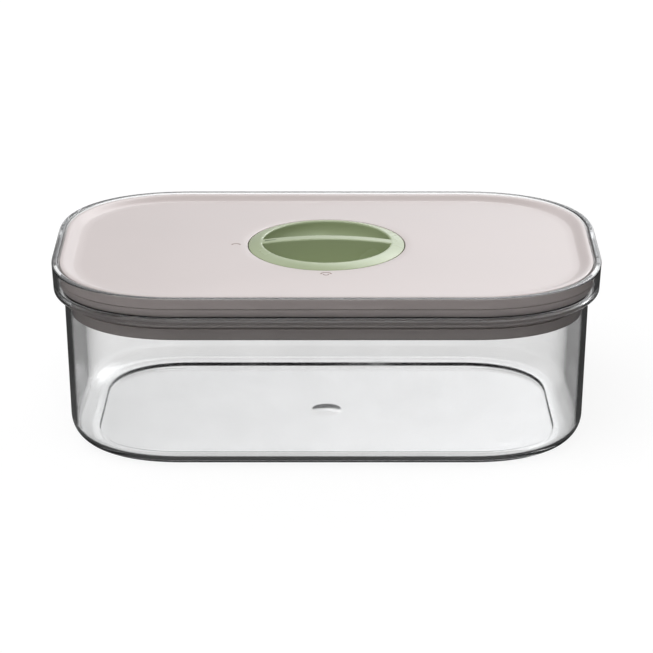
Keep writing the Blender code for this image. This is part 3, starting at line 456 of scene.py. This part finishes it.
# Lid's top shell: pale pink-grey polypropylene with a satin face. A thin lip, a band
# that slopes down to the panel, a slightly crowned panel, the well of the knob and a
# skirt. Bosses and ribs under the panel take the frame's screws.
LID_GAP = 0.0008
LID_DROP = 0.0002
LIP_WIDTH = 0.0014
LIP_RADIUS = 0.0005
BAND_WIDTH = 0.0046
BAND_DROP = 0.0018
COVER_SHELL = 0.0019
SKIRT_HEIGHT = 0.0050
SKIRT_WALL = 0.0018
TONGUE_WALL = 0.0014
CLEARANCE = 0.0003
FRAME_SHEET = 0.0018
KNOB_RADIUS = 0.0331
KNOB_DROP = 0.0009
KNOB_FLANGE = 0.0019
KNOB_HOLE_GAP = 0.00035
WELL_WALL = 0.00175
LEDGE_THICKNESS = 0.0015
LEDGE_GAP = 0.0004
SPLASH_RING_HEIGHT = 0.0007
NECK_RADIUS = 0.0308
COVER_BOSS_RADIUS = 0.0028
COVER_RIB_COUNT = 8
COVER_RIB_WIDTH = 0.0012
COVER_RIB_HEIGHT = 0.0016
COVER_RIB_LENGTH = 0.0200
PANEL_STEPS = 20
BAND_STEPS = 12
BAND_CURVE = 0.5
LIP_STEPS = 5
HOLE_EDGE_STEPS = 3
POST_POINTS = 32
LEVEL_TOLERANCE = 1e-6
SCREW_NUMBERS = range(1, 5)
GRAIN_SIZE = 0.0012
CLOUD_SIZE = 0.0286
CLOUD_LOW, CLOUD_HIGH = 0.30, 0.70
TONE_SPREAD = 0.015
SHEEN_SPREAD = 0.02
LIP_TOP = CONTAINER_HEIGHT - LID_DROP
PANEL_EDGE = LIP_TOP - BAND_DROP
SKIRT_BOTTOM = LIP_TOP - SKIRT_HEIGHT
FRAME_TOP = SKIRT_BOTTOM - CLEARANCE
FRAME_UNDERSIDE = SHOULDER_TOP + CLEARANCE
DECK_TOP = FRAME_UNDERSIDE + FRAME_SHEET
KNOB_TOP = CONTAINER_HEIGHT - KNOB_DROP
FLANGE_UNDERSIDE = KNOB_TOP - KNOB_FLANGE
SPLASH_RING_TOP = FLANGE_UNDERSIDE - CLEARANCE
LEDGE_TOP = SPLASH_RING_TOP - SPLASH_RING_HEIGHT - CLEARANCE
LEDGE_UNDERSIDE = LEDGE_TOP - LEDGE_THICKNESS
KNOB_HOLE_RADIUS = KNOB_RADIUS + KNOB_HOLE_GAP
WELL_RADIUS = KNOB_HOLE_RADIUS + WELL_WALL
LEDGE_RADIUS = NECK_RADIUS + LEDGE_GAP
SKIRT_INSET = COLLAR_WALL + LID_GAP
BAND_TOP_INSET = SKIRT_INSET + LIP_WIDTH
BAND_FOOT_INSET = BAND_TOP_INSET + BAND_WIDTH
SKIRT_INNER_INSET = SKIRT_INSET + SKIRT_WALL
TONGUE_INSET = SKIRT_INNER_INSET + CLEARANCE
TONGUE_INNER_INSET = TONGUE_INSET + TONGUE_WALL


def blend_ring(first, second, share):
    """Ring that lies a share of the way from the first ring to the second."""
    return [tuple(a + (b - a) * share for a, b in zip(p, q)) for p, q in zip(first, second)]


def panel_rings(outer, inner):
    """Crowned sheet between a plan ring and a circle, both ends left out."""
    made = []
    for step in range(1, PANEL_STEPS):
        share = step / PANEL_STEPS
        rise = (inner[0][2] - outer[0][2]) * (sin(pi / 2 * share) - share)
        made.append([(x, y, z + rise) for x, y, z in blend_ring(outer, inner, share)])
    return made


def post(bm, place, bottom, top, radius, bore=0.0):
    """Adds a round post that stands at place, or a socket whose bore is open at the top."""
    where = Matrix.Translation((*place, (bottom + top) / 2))
    made = bmesh.ops.create_cone(
        bm, cap_ends=True, segments=POST_POINTS, radius1=radius, radius2=radius,
        depth=top - bottom, matrix=where,
    )["verts"]
    if bore:
        faces = {face for vert in made for face in vert.link_faces}
        level = top - LEVEL_TOLERANCE
        cap = [face for face in faces if min(vert.co.z for vert in face.verts) > level]
        bmesh.ops.inset_individual(bm, faces=cap, thickness=radius - bore)
        floor_face = bmesh.ops.extrude_discrete_faces(bm, faces=cap)["faces"]
        sunk = [vert for face in floor_face for vert in face.verts]
        bmesh.ops.translate(bm, verts=sunk, vec=(0, 0, bottom - top + CLEARANCE))


def rib(bm, start, end, width, bottom, top):
    """Adds a straight rib from start to end in plan."""
    start, end = Vector(start), Vector(end)
    along = end - start
    turn = Matrix.Rotation(atan2(along.y, along.x), 4, "Z")
    size = Matrix.Diagonal((along.length, width, top - bottom, 1))
    where = Matrix.Translation((*(start + end) / 2, (bottom + top) / 2))
    bmesh.ops.create_cube(bm, size=1.0, matrix=where @ turn @ size)


def plan_centre(name):
    """Where the middle of a CAD node lies in plan."""
    low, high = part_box(name)
    return (low + high).xy / 2


def satin_plastic(name, colour, roughness):
    """Soft plastic or ink: even colour, satin from an eroded mould, faintly cloudy sheen.

    The grain of such a mould is about 0.05 mm. It is drawn at 1.2 mm, so that it shows.
    """
    made, tree, output = new_material(name)
    place = node(tree, "TexCoord").outputs["Object"]
    grain = node(tree, "TexNoise", {"Vector": place, "Scale": 1 / GRAIN_SIZE, "Detail": 2.0})
    cloud = node(tree, "TexNoise", {"Vector": place, "Scale": 1 / CLOUD_SIZE, "Detail": 3.0})
    cloud = cloud.outputs["Fac"]
    full = linear(colour)
    faded = (*[value * (1 - TONE_SPREAD) for value in full[:3]], 1.0)
    tone = node(tree, "ValToRGB", {0: cloud}, stops=((CLOUD_LOW, faded), (CLOUD_HIGH, full)))
    sheen = node(tree, "MapRange", {
        "Value": cloud, "From Min": CLOUD_LOW, "From Max": CLOUD_HIGH,
        "To Min": roughness - SHEEN_SPREAD, "To Max": roughness + SHEEN_SPREAD,
    })
    bump = node(tree, "Bump", {
        "Height": grain.outputs["Fac"], "Strength": 0.04, "Distance": 0.0002,
    })
    shader = node(tree, "BsdfPrincipled", {
        "Base Color": tone.outputs[0], "Roughness": sheen.outputs[0], "IOR": 1.49,
        "Normal": bump.outputs[0],
    })
    tree.links.new(shader.outputs[0], output.inputs["Surface"])
    return made


# Polypropylene from a finely eroded mould: wide soft highlights on an even pink-grey.
pink_grey = satin_plastic("satin_pink_grey_polypropylene", "#CFC4C2", 0.30)

hole_edge = arc(
    (KNOB_HOLE_RADIUS + CLEARANCE, KNOB_TOP - CLEARANCE), CLEARANCE, 180, 90, HOLE_EDGE_STEPS
)
rings = [circle_ring(radius, z) for radius, z in supported(
    [(LEDGE_RADIUS, LEDGE_TOP), (KNOB_HOLE_RADIUS, LEDGE_TOP)] + hole_edge
)]
panel_foot = plan_ring(BAND_FOOT_INSET, PANEL_EDGE)
rings += reversed(panel_rings(panel_foot, rings[-1]))
rings.append(panel_foot)
band = []
for step in range(1, BAND_STEPS):
    share = step / BAND_STEPS
    curved = 3 * share ** 2 - 2 * share ** 3
    rise = BAND_DROP * (BAND_CURVE * curved + (1 - BAND_CURVE) * share)
    band.append((BAND_FOOT_INSET - BAND_WIDTH * share, PANEL_EDGE + rise))
band.append((BAND_TOP_INSET, LIP_TOP))
band += arc(
    (SKIRT_INSET + LIP_RADIUS, LIP_TOP - LIP_RADIUS), LIP_RADIUS, 90, 180, LIP_STEPS
)
tongue_root = SKIRT_BOTTOM + CLEARANCE
tongue_foot = DECK_TOP + CLEARANCE
ceiling = PANEL_EDGE - COVER_SHELL
band += [
    (SKIRT_INSET, SKIRT_BOTTOM), (SKIRT_INNER_INSET, SKIRT_BOTTOM),
    (SKIRT_INNER_INSET, tongue_root), (TONGUE_INSET, tongue_root),
    (TONGUE_INSET, tongue_foot), (TONGUE_INNER_INSET, tongue_foot),
    (TONGUE_INNER_INSET, ceiling),
]
rings += [plan_ring(inset, z) for inset, z in band]
ceiling_edge = plan_ring(BAND_FOOT_INSET, ceiling)
well_root = circle_ring(WELL_RADIUS, KNOB_TOP - COVER_SHELL)
rings.append(ceiling_edge)
rings += panel_rings(ceiling_edge, well_root)
rings.append(well_root)
rings += [circle_ring(radius, LEDGE_UNDERSIDE) for radius in (WELL_RADIUS, LEDGE_RADIUS)]
bm = swept(rings, joined=True)
boss_top = PANEL_EDGE - COVER_SHELL / 2
for number in SCREW_NUMBERS:
    post(bm, plan_centre(f"frame_screw_{number}"), tongue_foot, boss_top, COVER_BOSS_RADIUS)
rib_foot = ceiling - COVER_RIB_HEIGHT
rib_start = WELL_RADIUS - WELL_WALL / 2
rib_end = rib_start + COVER_RIB_LENGTH
for number in range(COVER_RIB_COUNT):
    angle = 2 * pi * (number + 0.5) / COVER_RIB_COUNT
    outwards = Vector((cos(angle), sin(angle)))
    rib(bm, outwards * rib_start, outwards * rib_end, COVER_RIB_WIDTH, rib_foot, boss_top)
cover = add_piece("lid_top_shell", bm, pink_grey, "lid", ["lid_cover"], sharp=50)

# Pad-printed marks on the panel: a closed arch where the grip bar points when the box is
# sealed, and an arch over an open bowl where it points when the box can be opened.
MARK_STROKE = 0.00062
MARK_DEPTH = 0.0002
MARK_RISE = 0.00003
MARK_STEPS = 20
# Each stroke's centre, outer radius, and first and last angle.
LEFT_ARCH = ((-0.0384, -0.0009), 0.0021, 10, 170)
FRONT_ARCH = ((-0.0002, -0.0381), 0.0025, 8, 172)
FRONT_BOWL = ((-0.0002, -0.0380), 0.0014, 182, 358)
# Pad-printing ink: a thin film of brown-grey, duller than the plastic round it.
printed_ink = satin_plastic("matt_printed_ink", "#84695F", 0.45)
for name, (centre, radius, start, end) in (
    ("sealed_mark", LEFT_ARCH), ("open_mark_arch", FRONT_ARCH), ("open_mark_bowl", FRONT_BOWL),
):
    rings = []
    inner = arc(centre, radius - MARK_STROKE, start, end, MARK_STEPS)
    outer = arc(centre, radius, start, end, MARK_STEPS)
    for (a, b), (c, d) in zip(inner, outer):
        surface = cover.ray_cast((c, d, CONTAINER_HEIGHT), (0, 0, -1))[1].z
        low, high = surface - MARK_DEPTH, surface + MARK_RISE
        rings.append([(a, b, low), (c, d, low), (c, d, high), (a, b, high)])
    add_piece(name, swept(rings), printed_ink, "lid", [])

# Lid's lower frame: the same plastic. Its undercut flange stands on the shoulder of the
# box, its flat rib presses the gasket from above, and four posts guide the plate.
FRAME_UNDERCUT = 0.0022
SEAT_GAP = 0.0006
SEAT_DROP = 0.0014
SEAT_WIDTH = 0.0058
FRAME_HOLE_RADIUS = 0.0346
GUIDE_POST_RADIUS = 0.0030
GUIDE_POST_LENGTH = 0.0074
GUIDE_X = 0.0560
GUIDE_Y = 0.0340
FLANGE_STEPS = 16
SEAT_INSET = body_inside(SHOULDER_TOP) + SEAT_GAP
SEAT_INNER_INSET = SEAT_INSET + SEAT_WIDTH
SEAT_UNDERSIDE = FRAME_UNDERSIDE - SEAT_DROP
flange_height = FRAME_TOP - FRAME_UNDERSIDE
section = [(SKIRT_INSET, FRAME_TOP)]
for step in range(1, FLANGE_STEPS):
    share = step / FLANGE_STEPS
    inset = SKIRT_INSET + FRAME_UNDERCUT * share ** 2
    section.append((inset, FRAME_TOP - flange_height * sin(pi / 2 * share)))
section += [
    (SKIRT_INSET + FRAME_UNDERCUT, FRAME_UNDERSIDE), (SEAT_INSET, FRAME_UNDERSIDE),
    (SEAT_INSET, SEAT_UNDERSIDE), (SEAT_INNER_INSET, SEAT_UNDERSIDE),
    (SEAT_INNER_INSET, FRAME_UNDERSIDE),
]
rings = [plan_ring(inset, z) for inset, z in section]
rings += [circle_ring(FRAME_HOLE_RADIUS, z) for z in (FRAME_UNDERSIDE, DECK_TOP)]
rings += [plan_ring(inset, z) for inset, z in [
    (SEAT_INNER_INSET, DECK_TOP), (SKIRT_INNER_INSET, DECK_TOP), (SKIRT_INNER_INSET, FRAME_TOP)
]]
bm = swept(rings, joined=True)
guides = [Vector((side * GUIDE_X, end * GUIDE_Y)) for side in (-1, 1) for end in (-1, 1)]
guide_foot = FRAME_UNDERSIDE - GUIDE_POST_LENGTH
for guide in guides:
    post(bm, guide, guide_foot, DECK_TOP - CLEARANCE, GUIDE_POST_RADIUS)
add_piece("lid_lower_frame", bm, pink_grey, "lid", ["lid_frame"], sharp=35)

# Twist knob: moulded sage green polypropylene. A ring rises gently from the panel to a
# deep bowl with a crowned grip bar across it. A neck goes down through the well, and the
# cam cup is screwed up into the bar.
KNOB_EDGE = 0.0003
RING_RISE = 0.0014
RECESS_RADIUS = 0.0272
RECESS_EDGE = 0.0005
BOWL_FLOOR = 0.0644
BAR_TOP_WIDTH = 0.0050
BAR_FOOT_WIDTH = 0.0072
BAR_CROWN = 0.0019
BAR_EDGE = 0.0006
BAR_FILLET = 0.0022
POCKET_SIDE_SHARE = 0.52
POCKET_FLOOR_SHARE = 0.95
BOWL_SIDE_SHARE = 0.45
BOWL_FLOOR_SHARE = 0.80
BOWL_RADIUS = 0.0286
BOWL_UNDERSIDE = 0.0624
NECK_UNDERSIDE = 0.0717
BAR_COLUMNS = 128
BAR_ROWS = 6
POCKET_ROWS = 72
SIDE_STEPS = 400
# How far up and how far round the recess's rounded edge each of its rows lies.
RECESS_EDGE_TURNS = ((0.29, 30), (0.62, 60), (1.0, 90))
RING_STEPS = 9
RING_CURVE = 1.3
RING_EDGE_TURN = 80
BOWL_STEPS = 24
ring_top = KNOB_TOP + RING_RISE
recess_top = ring_top - RECESS_EDGE
bar_half = BAR_TOP_WIDTH / 2
bar_lean = (BAR_FOOT_WIDTH - BAR_TOP_WIDTH) / 2 / (ring_top - BOWL_FLOOR)


def bowl_height(radius):
    """Height of the bowl's surface at a distance from the axis."""
    share = min(radius / RECESS_RADIUS, 1.0)
    depth = recess_top - BOWL_FLOOR
    return recess_top - depth * (1 - share ** (2 / POCKET_SIDE_SHARE)) ** (POCKET_FLOOR_SHARE / 2)


def resample(points, count):
    """The same path with count points at even distances along it."""
    along = [0.0]
    for (a, b), (c, d) in zip(points, points[1:]):
        along.append(along[-1] + hypot(c - a, d - b))
    made = []
    place = 0
    for step in range(count):
        goal = along[-1] * step / (count - 1)
        while place < len(along) - 2 and along[place + 1] < goal:
            place += 1
        span = along[place + 1] - along[place]
        share = (goal - along[place]) / span if span > 0 else 0
        (a, b), (c, d) = points[place], points[place + 1]
        made.append((a + (c - a) * share, b + (d - b) * share))
    return made


def bar_column(turn):
    """Points across the recess: ring, bowl, fillet, side and top of the bar, and back down."""
    x = sqrt(RECESS_RADIUS ** 2 - bar_half ** 2) * cos(turn)
    top = ring_top + BAR_CROWN * (1 - (x / RECESS_RADIUS) ** 2)
    reach = max(sqrt(RECESS_RADIUS ** 2 - x ** 2), bar_half)
    brow = max(top - BAR_EDGE, bowl_height(hypot(x, bar_half)))
    side = []
    for step in range(SIDE_STEPS + 1):
        y = bar_half + (reach - bar_half) * (step / SIDE_STEPS) ** 2
        wall = top - BAR_EDGE - (y - bar_half) / bar_lean
        bowl = bowl_height(hypot(x, y))
        blend = max(BAR_FILLET - abs(wall - bowl), 0) ** 2 / (4 * BAR_FILLET)
        side.append((y, min(max(wall, bowl) + blend, brow)))
    half = resample(side, POCKET_ROWS)[::-1]
    centre = bar_half - BAR_EDGE
    for y, z in arc((centre, top - BAR_EDGE), BAR_EDGE, 0, 90)[1:]:
        half.append((y, max(z, bowl_height(hypot(x, y)))))
    half += [(centre * (1 - step / BAR_ROWS), top) for step in range(1, BAR_ROWS)]
    points = []
    for y, z in half + [(0, top)] + [(-y, z) for y, z in reversed(half)]:
        stretch = sqrt(RECESS_RADIUS ** 2 - min(abs(y), bar_half) ** 2)
        points.append((stretch * cos(turn), y, z))
    return points


def moved_out(radius, share=None, z=None):
    """Place for a vertex moved radially to a radius, up a share of the way to the top or to z."""
    def place(vert):
        height = vert.co.z + (ring_top - vert.co.z) * share if z is None else z
        return (*vert.co.xy.normalized() * radius, height)
    return place


# The same plastic in sage green, a little glossier, so that ring and bar catch the light.
sage_green = satin_plastic("satin_sage_polypropylene", "#A3AF8A", 0.26)
columns = [bar_column(pi * step / BAR_COLUMNS) for step in range(BAR_COLUMNS + 1)]
bm = skin(columns, closed=False)[0]
bmesh.ops.remove_doubles(bm, verts=bm.verts, dist=MERGE_DISTANCE)
edges = [item for item in bm.edges if item.is_boundary]
for share, turn in RECESS_EDGE_TURNS:
    radius = RECESS_RADIUS + RECESS_EDGE * (1 - cos(radians(turn)))
    edges = extruded(bm, edges, moved_out(radius, share))
ring_inner, ring_outer = RECESS_RADIUS + RECESS_EDGE, KNOB_RADIUS - KNOB_EDGE
section = []
for step in range(1, RING_STEPS):
    share = step / RING_STEPS
    radius = ring_inner + (ring_outer - ring_inner) * share
    section.append((radius, ring_top - RING_RISE * share ** RING_CURVE))
section += arc(
    (ring_outer, KNOB_TOP - KNOB_EDGE), KNOB_EDGE, RING_EDGE_TURN, 0, SMALL_EDGE_STEPS
)
section += [
    (KNOB_RADIUS, FLANGE_UNDERSIDE), (NECK_RADIUS, FLANGE_UNDERSIDE),
    (NECK_RADIUS, NECK_UNDERSIDE),
]
for step in range(BOWL_STEPS):
    angle = pi / 2 * step / BOWL_STEPS
    depth = (NECK_UNDERSIDE - BOWL_UNDERSIDE) * sin(angle) ** BOWL_FLOOR_SHARE
    section.append((BOWL_RADIUS * cos(angle) ** BOWL_SIDE_SHARE, NECK_UNDERSIDE - depth))
for radius, z in section:
    edges = extruded(bm, edges, moved_out(radius, z=z))
bmesh.ops.contextual_create(bm, geom=edges)
bmesh.ops.recalc_face_normals(bm, faces=bm.faces)
add_piece("twist_knob", bm, sage_green, "knob", ["knob"])

# Pointer at one end of the grip bar: a slim printed dart that follows the bar's crown
# and shows which of the lid's two marks the knob is turned to.
POINTER_START = -0.0262
POINTER_END = -0.0214
POINTER_WIDTH = 0.0015
POINTER_TAPER = 0.75
POINTER_STEPS = 12
# The same kind of ink in dark green, quite matt, so that it stays dark on the lit bar.
pointer_ink = satin_plastic("matt_dark_green_ink", "#46542A", 0.60)
rings = []
for step in range(POINTER_STEPS + 1):
    share = step / POINTER_STEPS
    x = POINTER_START + (POINTER_END - POINTER_START) * share
    half = POINTER_WIDTH / 2 * (1 - POINTER_TAPER * share)
    surface = ring_top + BAR_CROWN * (1 - (x / RECESS_RADIUS) ** 2)
    low, high = surface - MARK_DEPTH, surface + MARK_RISE
    rings.append([(x, -half, low), (x, half, low), (x, half, high), (x, -half, high)])
add_piece("knob_pointer", swept(rings), pointer_ink, "knob", [])

# Pressure plate: the same plastic as the lid. A closed plate with a soft lower edge and a
# grooved rail for the gasket. Ribs join the bosses that take the lift collar's screws to
# the sockets that the frame's posts slide in.
PLATE_UNDERSIDE = 0.0568
PLATE_FLOOR = 0.0588
RAIL_TOP = 0.0618
BOSS_TOP = 0.0628
PLATE_GAP = 0.0004
PLATE_EDGE = 0.0012
PLATE_BOSS_RADIUS = 0.0030
PLATE_RIB_WIDTH = 0.0012
PLATE_RIB_HEIGHT = 0.0022
SOCKET_RADIUS = 0.00465
SOCKET_BORE = 0.00335
SOCKET_TOP = 0.0668
PLATE_EDGE_STEPS = 8
LIFT_COLLAR_FOOT_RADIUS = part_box("lift_collar")[1].x
RAIL_WALL = 0.0018
RAIL_GROOVE = 0.0020
INNER_RAIL_WALL = 0.0016
PLATE_INSET = body_inside(PLATE_UNDERSIDE) + PLATE_GAP
GROOVE_INSET = PLATE_INSET + RAIL_WALL
INNER_RAIL_INSET = GROOVE_INSET + RAIL_GROOVE
PLATE_FLOOR_INSET = INNER_RAIL_INSET + INNER_RAIL_WALL
section = [
    (PLATE_FLOOR_INSET, PLATE_FLOOR), (PLATE_FLOOR_INSET, RAIL_TOP), (INNER_RAIL_INSET, RAIL_TOP),
    (INNER_RAIL_INSET, PLATE_FLOOR), (GROOVE_INSET, PLATE_FLOOR), (GROOVE_INSET, RAIL_TOP),
    (PLATE_INSET, RAIL_TOP),
]
edge_inset = PLATE_INSET + PLATE_EDGE
section += arc(
    (edge_inset, PLATE_UNDERSIDE + PLATE_EDGE), PLATE_EDGE, 180, 270, PLATE_EDGE_STEPS
)
section.append((edge_inset + SUPPORT, PLATE_UNDERSIDE))
bm = swept([plan_ring(inset, z) for inset, z in supported(section)])
root = (PLATE_UNDERSIDE + PLATE_FLOOR) / 2
rib_top = PLATE_FLOOR + PLATE_RIB_HEIGHT
for number in SCREW_NUMBERS:
    boss = plan_centre(f"collar_screw_{number}")
    socket = min(guides, key=lambda guide: (guide - boss).length)
    post(bm, boss, root, BOSS_TOP, PLATE_BOSS_RADIUS)
    post(bm, socket, root, SOCKET_TOP, SOCKET_RADIUS, SOCKET_BORE)
    socket_wall = socket + (boss - socket).normalized() * (SOCKET_RADIUS + SOCKET_BORE) / 2
    rib(bm, boss, socket_wall, PLATE_RIB_WIDTH, root, rib_top)
wall = PLATE_FLOOR_INSET - INNER_RAIL_WALL / 2
for side in (-1, 1):
    far = side * (CONTAINER_LENGTH / 2 - wall)
    rib(bm, (side * LIFT_COLLAR_FOOT_RADIUS, 0), (far, 0), PLATE_RIB_WIDTH, root, rib_top)
    far = side * (CONTAINER_DEPTH / 2 - wall)
    rib(bm, (0, side * LIFT_COLLAR_FOOT_RADIUS), (0, far), PLATE_RIB_WIDTH, root, rib_top)
add_piece("pressure_plate_shell", bm, pink_grey, "plate", ["pressure_plate"])

# Gasket: matt silicone. Its stem sits in the plate's groove, its two lips lean on the
# wall of the box, and it stretches between the lid and the plate when the plate drops.
GASKET_TOP = 0.0665
GASKET_HEAD_UNDERSIDE = 0.0621
GASKET_FIN = 0.0007
GASKET_FIN_HEIGHT = 0.0009
GASKET_WALL_GAP = 0.0003
GASKET_RADIUS = 0.00025
FIN_TIP = (120, 240)
# Silicone: soft and matt, so that it shows through the wall without any highlight.
silicone = satin_plastic("matt_pink_grey_silicone", "#CFC6C4", 0.55)
fin_tip = body_inside(GASKET_TOP) + GASKET_WALL_GAP
fin_root = fin_tip + GASKET_FIN
tip_centre = fin_tip + GASKET_RADIUS
high_fin = GASKET_TOP - GASKET_FIN_HEIGHT
low_fin = GASKET_HEAD_UNDERSIDE + GASKET_FIN_HEIGHT
stem_outer = GROOVE_INSET + CLEARANCE
stem_inner = INNER_RAIL_INSET - CLEARANCE
stem_foot = PLATE_FLOOR + CLEARANCE
section = [
    (PLATE_FLOOR_INSET, GASKET_HEAD_UNDERSIDE), (PLATE_FLOOR_INSET, GASKET_TOP),
    (fin_root, GASKET_TOP),
]
section += arc((tip_centre, high_fin), GASKET_RADIUS, *FIN_TIP, SMALL_EDGE_STEPS)
section += [(fin_root, high_fin - GASKET_FIN_HEIGHT), (fin_root, low_fin + GASKET_FIN_HEIGHT)]
section += arc((tip_centre, low_fin), GASKET_RADIUS, *FIN_TIP, SMALL_EDGE_STEPS)
section += [
    (fin_root, GASKET_HEAD_UNDERSIDE), (stem_outer, GASKET_HEAD_UNDERSIDE),
    (stem_outer, stem_foot), (stem_inner, stem_foot), (stem_inner, GASKET_HEAD_UNDERSIDE),
]
bm = swept([plan_ring(inset, z) for inset, z in supported(section)], joined=True)
gasket = add_piece("gasket_ring", bm, silicone, None, ["gasket"], sharp=50)
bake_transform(gasket)

# Splash ring: a flat band of the same silicone on the ledge under the knob's flange. The
# knob turns on it, and it keeps washing water out of the lid.
SPLASH_RING_MARGIN = 0.0002
inner, outer = LEDGE_RADIUS + SPLASH_RING_MARGIN, KNOB_HOLE_RADIUS - SPLASH_RING_MARGIN
splash_foot = SPLASH_RING_TOP - SPLASH_RING_HEIGHT
rings = [circle_ring(radius, z) for radius, z in (
    (inner, splash_foot), (outer, splash_foot), (outer, SPLASH_RING_TOP), (inner, SPLASH_RING_TOP),
)]
add_piece("splash_band", swept(rings, joined=True), silicone, "lid", ["splash_ring"])

# Cam cup, lift collar and screws, all hidden inside the closed lid. They keep their solids
# and get the finish of what they are made of: moulded acetal and zinc-plated steel.
ZINC_GRAIN_SIZE = 0.0005
ZINC_LOW, ZINC_HIGH = 0.35, 0.65
# Natural acetal: milky white, with a close and slightly waxy highlight.
acetal = satin_plastic("natural_white_acetal", "#E9E8E2", 0.32)
# Bright zinc plating: cool and silvery, with a cloudy grain that breaks the mirror. The
# real grain is about 0.1 mm, and it is drawn at 0.5 mm, so that it shows.
steel, tree, output = new_material("zinc_plated_steel")
place = node(tree, "TexCoord").outputs["Object"]
grain = node(tree, "TexNoise", {"Vector": place, "Scale": 1 / ZINC_GRAIN_SIZE, "Detail": 3.0})
grain = grain.outputs["Fac"]
tone = node(tree, "ValToRGB", {0: grain}, stops=(
    (ZINC_LOW, linear("#BFC2C6")), (ZINC_HIGH, linear("#D2D3D4")),
))
sheen = node(tree, "MapRange", {"Value": grain, "To Min": 0.22, "To Max": 0.42})
shader = node(tree, "BsdfPrincipled", {
    "Base Color": tone.outputs[0], "Metallic": 1.0, "Roughness": sheen.outputs[0],
})
tree.links.new(shader.outputs[0], output.inputs["Surface"])
finishes = {"cam_cup": acetal, "lift_collar": acetal}
for name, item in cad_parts.items():
    look = steel if "screw" in name else finishes.get(name)
    if look:
        item.data.materials.clear()
        item.data.materials.append(look)
